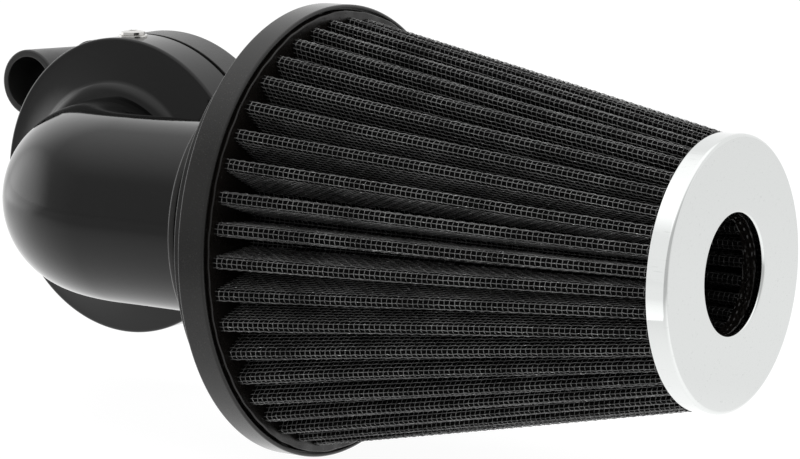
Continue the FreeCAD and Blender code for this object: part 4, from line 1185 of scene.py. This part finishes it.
def woven_screen(name, cone, parts, finish, node):
    """Woven wire that follows a pleated cone, in parts round the axis.

    A wire runs down the pleat at each pitch of arc length from the crest, and one down each
    valley; a wire runs across at each pitch down the slant. At a crossing one lies over the
    other by a wire's thickness, and they change places at the next; on the pleats' sides the
    wires across lie a little deeper.
    """
    slant = math.hypot(cone["ends"][1] - cone["ends"][0], cone["crest"][1] - cone["crest"][0])
    rows = int(round(slant / WIRE_PITCH)) + 1
    share = np.linspace(*WIRE_OVERRUN, rows)[:, None]
    half = half_length(cone, share)
    most = int(half.max() / WIRE_PITCH)
    index = np.concatenate([np.arange(-most, most + 1), [most + 1]])
    width = len(index)
    columns = width * cone["count"]
    pleat = np.repeat(np.arange(cone["count"]), width)[None, :]
    index = np.tile(index, cone["count"])[None, :]
    wanted = index * WIRE_PITCH + 0 * share
    in_valley = np.abs(wanted) > half - 0.4 * WIRE_PITCH
    travel = np.where(in_valley, np.sign(wanted) * half, wanted)
    over = np.where((np.arange(columns)[None, :] + np.arange(rows)[:, None]) % 2, 1.0, -1.0)
    over = np.where(in_valley, 0.0, over)
    points, normals, sides = on_pleats(cone, share, travel, pleat, -WIRE_DEPTH)
    lift = (over * WIRE_RADIUS * CROSSING_SHARE)[..., None] * normals
    down_valley = (index == most + 1) & (np.zeros_like(share) == 0)
    down = ~in_valley | down_valley
    down_steps = down & np.roll(down, -1, 0)
    down_steps[-1] = False
    on_side = np.clip((np.abs(travel) - between(cone["crest_width"], share) / 2) / 1.5, 0, 1)
    across_points = np.swapaxes(points - lift - SIDE_SINK * on_side[..., None] * normals, 0, 1)
    across_steps = np.linalg.norm(np.roll(across_points, -1, 0) - across_points, axis=-1) > 0.05
    forward = np.zeros_like(points)
    forward[..., 0] = 1.0
    for part in range(parts):
        first = part * columns // parts
        last = (part + 1) * columns // parts
        inside = np.zeros(columns, bool)
        inside[first:last] = True
        down_faces = tubes(points + lift, normals, -sides * cone["facing"],
                           down_steps & inside[None, :])
        across_faces = tubes(across_points, np.swapaxes(normals, 0, 1),
                             np.swapaxes(-forward, 0, 1) * cone["facing"],
                             across_steps & inside[:, None])
        wire_piece(f"{name}_down_{part + 1}", *down_faces, finish, node)
        wire_piece(f"{name}_across_{part + 1}", *across_faces, finish, node)


def cloth_layer(name, cone, heights, rows):
    """A mesh of a pleated layer between two heights, closed at both ends.

    Each half pleat has points close together at the crest's and the valley's bends.
    """
    share = np.linspace(*CLOTH_OVERRUN, rows)[:, None]
    half = half_length(cone, share)
    width = cone["crest_width"][0] / 2
    near_crest = width * np.array([0.0, 0.5, 0.75, 0.95, 1.15, 1.4])
    near_valley = np.array([1.6, 1.0, 0.7, 0.4])
    middle = near_crest[-1] + (half - near_valley[0] - near_crest[-1]) * np.array([0.33, 0.67])
    one_side = np.concatenate([near_crest + 0 * half, middle, half - near_valley], 1)
    travel = np.concatenate([-one_side[:, :0:-1], one_side, half], 1)
    columns = travel.shape[1]
    travel = np.tile(travel, (1, cone["count"]))
    pleat = np.repeat(np.arange(cone["count"]), columns)[None, :]
    outside, inside = [on_pleats(cone, share, travel, pleat, height)[0] for height in heights]
    return shells(name, [(np.concatenate([outside, inside[::-1]]), True, True)], sharp=60)


woven_screen("outer_wire", OUTER, 4, WIRE, "outer_screen")
placed(cloth_layer("outer_gauze", OUTER, OUTER["gauze"], 26),
       GAUZE, "filter", "gauze", "outer_media")
placed(cloth_layer("outer_back_wire", OUTER, OUTER["back"], 14),
       WIRE, "filter", "screen_wire", "outer_back_screen")
woven_screen("inner_wire", INNER, 1, INNER_WIRE, "inner_screen")
placed(cloth_layer("inner_gauze", INNER, INNER["gauze"], 26),
       GAUZE, "filter", "gauze", "inner_media")
placed(cloth_layer("inner_back_wire", INNER, INNER["back"], 14),
       INNER_WIRE, "filter", "screen_wire", "inner_back_screen")


# ---- worm drive clamp ----
BAND = band_high[2]
BAND_THICKNESS = 0.8
SLOT_SPACING = 3.2
SLOT_DEPTH = 0.35
SLOT_SLANT = 0.5
SLOT_HALF_SHARE = 0.34


def clamp_band():
    """The band: a flat hoop with slanting worm slots pressed into its outside.

    A slot lies where the cosine of (number of slots times angle plus slant times the place
    along the band) is high.
    """
    rear, front = band_low[0], band_high[0]
    corners = [(rear, BAND - BAND_THICKNESS, 0), (rear, BAND, 0.2)]
    corners += [(place, BAND, 0) for place in np.linspace(rear + 1.4, front - 1.4, 24)]
    corners += [(front, BAND, 0.2), (front, BAND - BAND_THICKNESS, 0)]
    slots = round(FULL_TURN * BAND / SLOT_SPACING)
    middle, half = (rear + front) / 2, (front - rear) * SLOT_HALF_SHARE

    def swell(along, radius, angle):
        wave = np.cos(slots * angle + (along - middle) * SLOT_SLANT)
        across = np.clip((wave - 0.1) / 0.3, 0, 1)
        within = np.clip((half - np.abs(along - middle)) / 0.5, 0, 1)
        outside = radius > BAND - 0.01
        return 0 * wave, -SLOT_DEPTH * across * within * outside

    return turned(rounded(corners), FILTER_AXIS, slots * 12, swell)


placed(shells("clamp_hoop", [(clamp_band(), True, True)], sharp=30),
       CLAMP_BLACK, "filter", "clamp_black", "clamp_band")


# ---- CAD nodes that stay, with their finishes ----
KEPT_NODES = {
    "throttle_seal": RUBBER, "ring_seal": RUBBER, "breather_seals": RUBBER,
    "clamp_housing": CLAMP_BLACK, "clamp_screw": PLAIN_STEEL,
}
for node, finish in KEPT_NODES.items():
    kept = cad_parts[node]
    kept.data.materials.clear()
    kept.data.materials.append(finish)


# ---- floor, world, lamps and camera ----
# Lengths here are in metres but for FLOOR_DROP. BACKDROP_SHARE is how much of the floor's look
# is its own glow, FLOOR_GLOW to the camera. Reflections see FLOOR_NEAR from behind the object to
# its front, fading to the room between the two places FLOOR_FRONT and the distances FLOOR_FADE.
FLOOR_DROP = 0.3
FLOOR_SIZE = 6.0
BACKDROP_SHARE = 0.85
FLOOR_GLOW = 1.12
FLOOR_NEAR = (1.15, 1.5)
FLOOR_FRONT = (-0.08, -0.36)
FLOOR_FADE = (0.4, 0.75)
# The room's brightness to reflections in front, what each side adds between two shares of a
# direction, and the room's brightness as light.
ROOM_IN_FRONT = 0.66
ROOM_ABOVE = (0.5, 0.92, 0.0, 0.85)
ROOM_AT_LEFT = (-0.85, -1.0, 0.0, 1.3)
ROOM_BEHIND = (-0.15, 0.5, 0.0, 0.46)
ROOM_LIGHT = 0.55


def studio_in_reflections(tree, way):
    """How bright the room is in a direction: dim in front, bright above, at left and behind.

    The direction is weighed against up, left and back, each through a soft step.
    """
    parts = tree.nodes.new("ShaderNodeSeparateXYZ")
    tree.links.new(way, parts.inputs["Vector"])
    above = ranged(tree, parts.outputs["Z"], *ROOM_ABOVE, "SMOOTHSTEP")
    left = ranged(tree, parts.outputs["X"], *ROOM_AT_LEFT, "SMOOTHSTEP")
    behind = ranged(tree, parts.outputs["Y"], *ROOM_BEHIND, "SMOOTHSTEP")
    most = worked_out(tree, "MAXIMUM", worked_out(tree, "MAXIMUM", above, left), behind)
    return worked_out(tree, "ADD", most, ROOM_IN_FRONT)


def plain_floor():
    """A plain pale floor under the flange, mostly lit by itself so that it meets the backdrop.

    Reflections see it bright under the object, and like the room in front and further away.
    """
    level = cad_low[2] - FLOOR_DROP * MM
    mesh = bpy.data.meshes.new("plain_floor")
    corners = [(side * FLOOR_SIZE, depth * FLOOR_SIZE, level)
               for side, depth in ((-1, -1), (1, -1), (1, 1), (-1, 1))]
    mesh.from_pydata(corners, [], [(0, 1, 2, 3)])
    floor = bpy.data.objects.new("plain_floor", mesh)
    bpy.context.scene.collection.objects.link(floor)
    material = bpy.data.materials.new("pale_floor")
    material.use_nodes = True
    tree = material.node_tree
    shader = tree.nodes["Principled BSDF"]
    shader.inputs["Base Color"].default_value = (0.82, 0.82, 0.82, 1)
    shader.inputs["Roughness"].default_value = 0.9
    shader.inputs["Specular IOR Level"].default_value = 0.0
    glow = tree.nodes.new("ShaderNodeEmission")
    mix = tree.nodes.new("ShaderNodeMixShader")
    path = tree.nodes.new("ShaderNodeLightPath")
    place = tree.nodes.new("ShaderNodeTexCoord").outputs["Object"]
    parts = tree.nodes.new("ShaderNodeSeparateXYZ")
    tree.links.new(place, parts.inputs["Vector"])
    under = ranged(tree, parts.outputs["Y"], 0.1, FLOOR_FRONT[0], *FLOOR_NEAR, "SMOOTHSTEP")
    distance = tree.nodes.new("ShaderNodeVectorMath")
    distance.operation = "LENGTH"
    tree.links.new(place, distance.inputs[0])
    way = tree.nodes.new("ShaderNodeVectorMath")
    way.operation = "NORMALIZE"
    tree.links.new(place, way.inputs[0])
    far = studio_in_reflections(tree, way.outputs["Vector"])
    near = ranged(tree, parts.outputs["Y"], *FLOOR_FRONT, under, far)
    reflected = ranged(tree, distance.outputs["Value"], *FLOOR_FADE, near, far, "SMOOTHSTEP")
    feed(tree, glow.inputs["Strength"],
         ranged(tree, path.outputs["Is Glossy Ray"], 0, 1, FLOOR_GLOW, reflected))
    seen = worked_out(tree, "MAXIMUM", path.outputs["Is Camera Ray"],
                      path.outputs["Is Glossy Ray"])
    tree.links.new(worked_out(tree, "MULTIPLY", seen, BACKDROP_SHARE), mix.inputs["Fac"])
    tree.links.new(shader.outputs["BSDF"], mix.inputs[1])
    tree.links.new(glow.outputs["Emission"], mix.inputs[2])
    tree.links.new(mix.outputs["Shader"], tree.nodes["Material Output"].inputs["Surface"])
    mesh.materials.append(material)


def white_backdrop():
    """The world: white to the camera, a soft studio to reflections, softer as light."""
    world = bpy.data.worlds.new("white_backdrop")
    bpy.context.scene.world = world
    world.use_nodes = True
    tree = world.node_tree
    background = tree.nodes["Background"]
    background.inputs["Color"].default_value = (1, 1, 1, 1)
    path = tree.nodes.new("ShaderNodeLightPath")
    seen = worked_out(tree, "MAXIMUM", path.outputs["Is Camera Ray"],
                  path.outputs["Is Transmission Ray"])
    plain = ranged(tree, seen, 0, 1, ROOM_LIGHT, 1.0)
    gloss = path.outputs["Is Glossy Ray"]
    way = tree.nodes.new("ShaderNodeTexCoord").outputs["Generated"]
    reflected = worked_out(tree, "MULTIPLY", studio_in_reflections(tree, way), gloss)
    unreflected = worked_out(tree, "MULTIPLY", plain, worked_out(tree, "SUBTRACT", 1.0, gloss))
    feed(tree, background.inputs["Strength"], worked_out(tree, "ADD", reflected, unreflected))


def soft_lamp(name, place, target, size, radiance, seen_in_shine=False):
    """An oblong soft lamp; power is pi times area times radiance.

    It gives either light without a reflection of itself, or only that reflection.
    """
    lamp = bpy.data.lights.new(name, "AREA")
    lamp.shape = "RECTANGLE"
    lamp.size, lamp.size_y = size
    lamp.energy = math.pi * size[0] * size[1] * radiance
    made = bpy.data.objects.new(name, lamp)
    bpy.context.scene.collection.objects.link(made)
    made.location = place
    aim = Vector(target) - Vector(place)
    made.rotation_euler = aim.to_track_quat("-Z", "Y").to_euler()
    made.visible_glossy = seen_in_shine
    made.visible_diffuse = not seen_in_shine


# The camera's place from a fit of a pinhole camera to the rims of flange, ring and plate.
VIEW_AZIMUTH = 33.82
VIEW_ELEVATION = 9.50
VIEW_ROLL = -0.18
VIEW_DISTANCE = 1.0128
VIEW_TARGET = (0.12272, -0.04436, -0.0016)
FOCAL_PIXELS = 3240.4
IMAGE_WIDTH = 800


def product_camera():
    """The camera at the photograph's angle: back from the target, rolled about its own axis."""
    azimuth, elevation = math.radians(VIEW_AZIMUTH), math.radians(VIEW_ELEVATION)
    back = Vector((math.sin(azimuth) * math.cos(elevation),
                   -math.cos(azimuth) * math.cos(elevation), math.sin(elevation)))
    right = Vector((math.cos(azimuth), math.sin(azimuth), 0))
    up = back.cross(right)
    roll = math.radians(VIEW_ROLL)
    across = right * math.cos(roll) + up * math.sin(roll)
    upright = up * math.cos(roll) - right * math.sin(roll)
    data = bpy.data.cameras.new("product_camera")
    data.sensor_width = 36.0
    data.lens = FOCAL_PIXELS * data.sensor_width / IMAGE_WIDTH
    camera = bpy.data.objects.new("product_camera", data)
    bpy.context.scene.collection.objects.link(camera)
    turn = Matrix((across, upright, back)).transposed().to_4x4()
    camera.matrix_world = Matrix.Translation(Vector(VIEW_TARGET) + back * VIEW_DISTANCE) @ turn
    bpy.context.scene.camera = camera


plain_floor()
white_backdrop()
MIDDLE = (cad_low + cad_high) / 2
soft_lamp("top_lamp", (0.05, 0.05, 1.0), MIDDLE, (1.3, 1.0), 1.5)
soft_lamp("left_lamp", (-0.8, -0.5, 0.35), MIDDLE, (0.7, 0.9), 1.2)
soft_lamp("right_lamp", (0.9, -0.6, 0.45), MIDDLE, (0.6, 0.8), 0.8)
soft_lamp("rim_card", (0.2, -0.175, 0.02), (0.2486, -0.1036, -0.01), (0.13, 0.34), 0.5, True)
product_camera()
bpy.context.scene.view_settings.view_transform = "Standard"
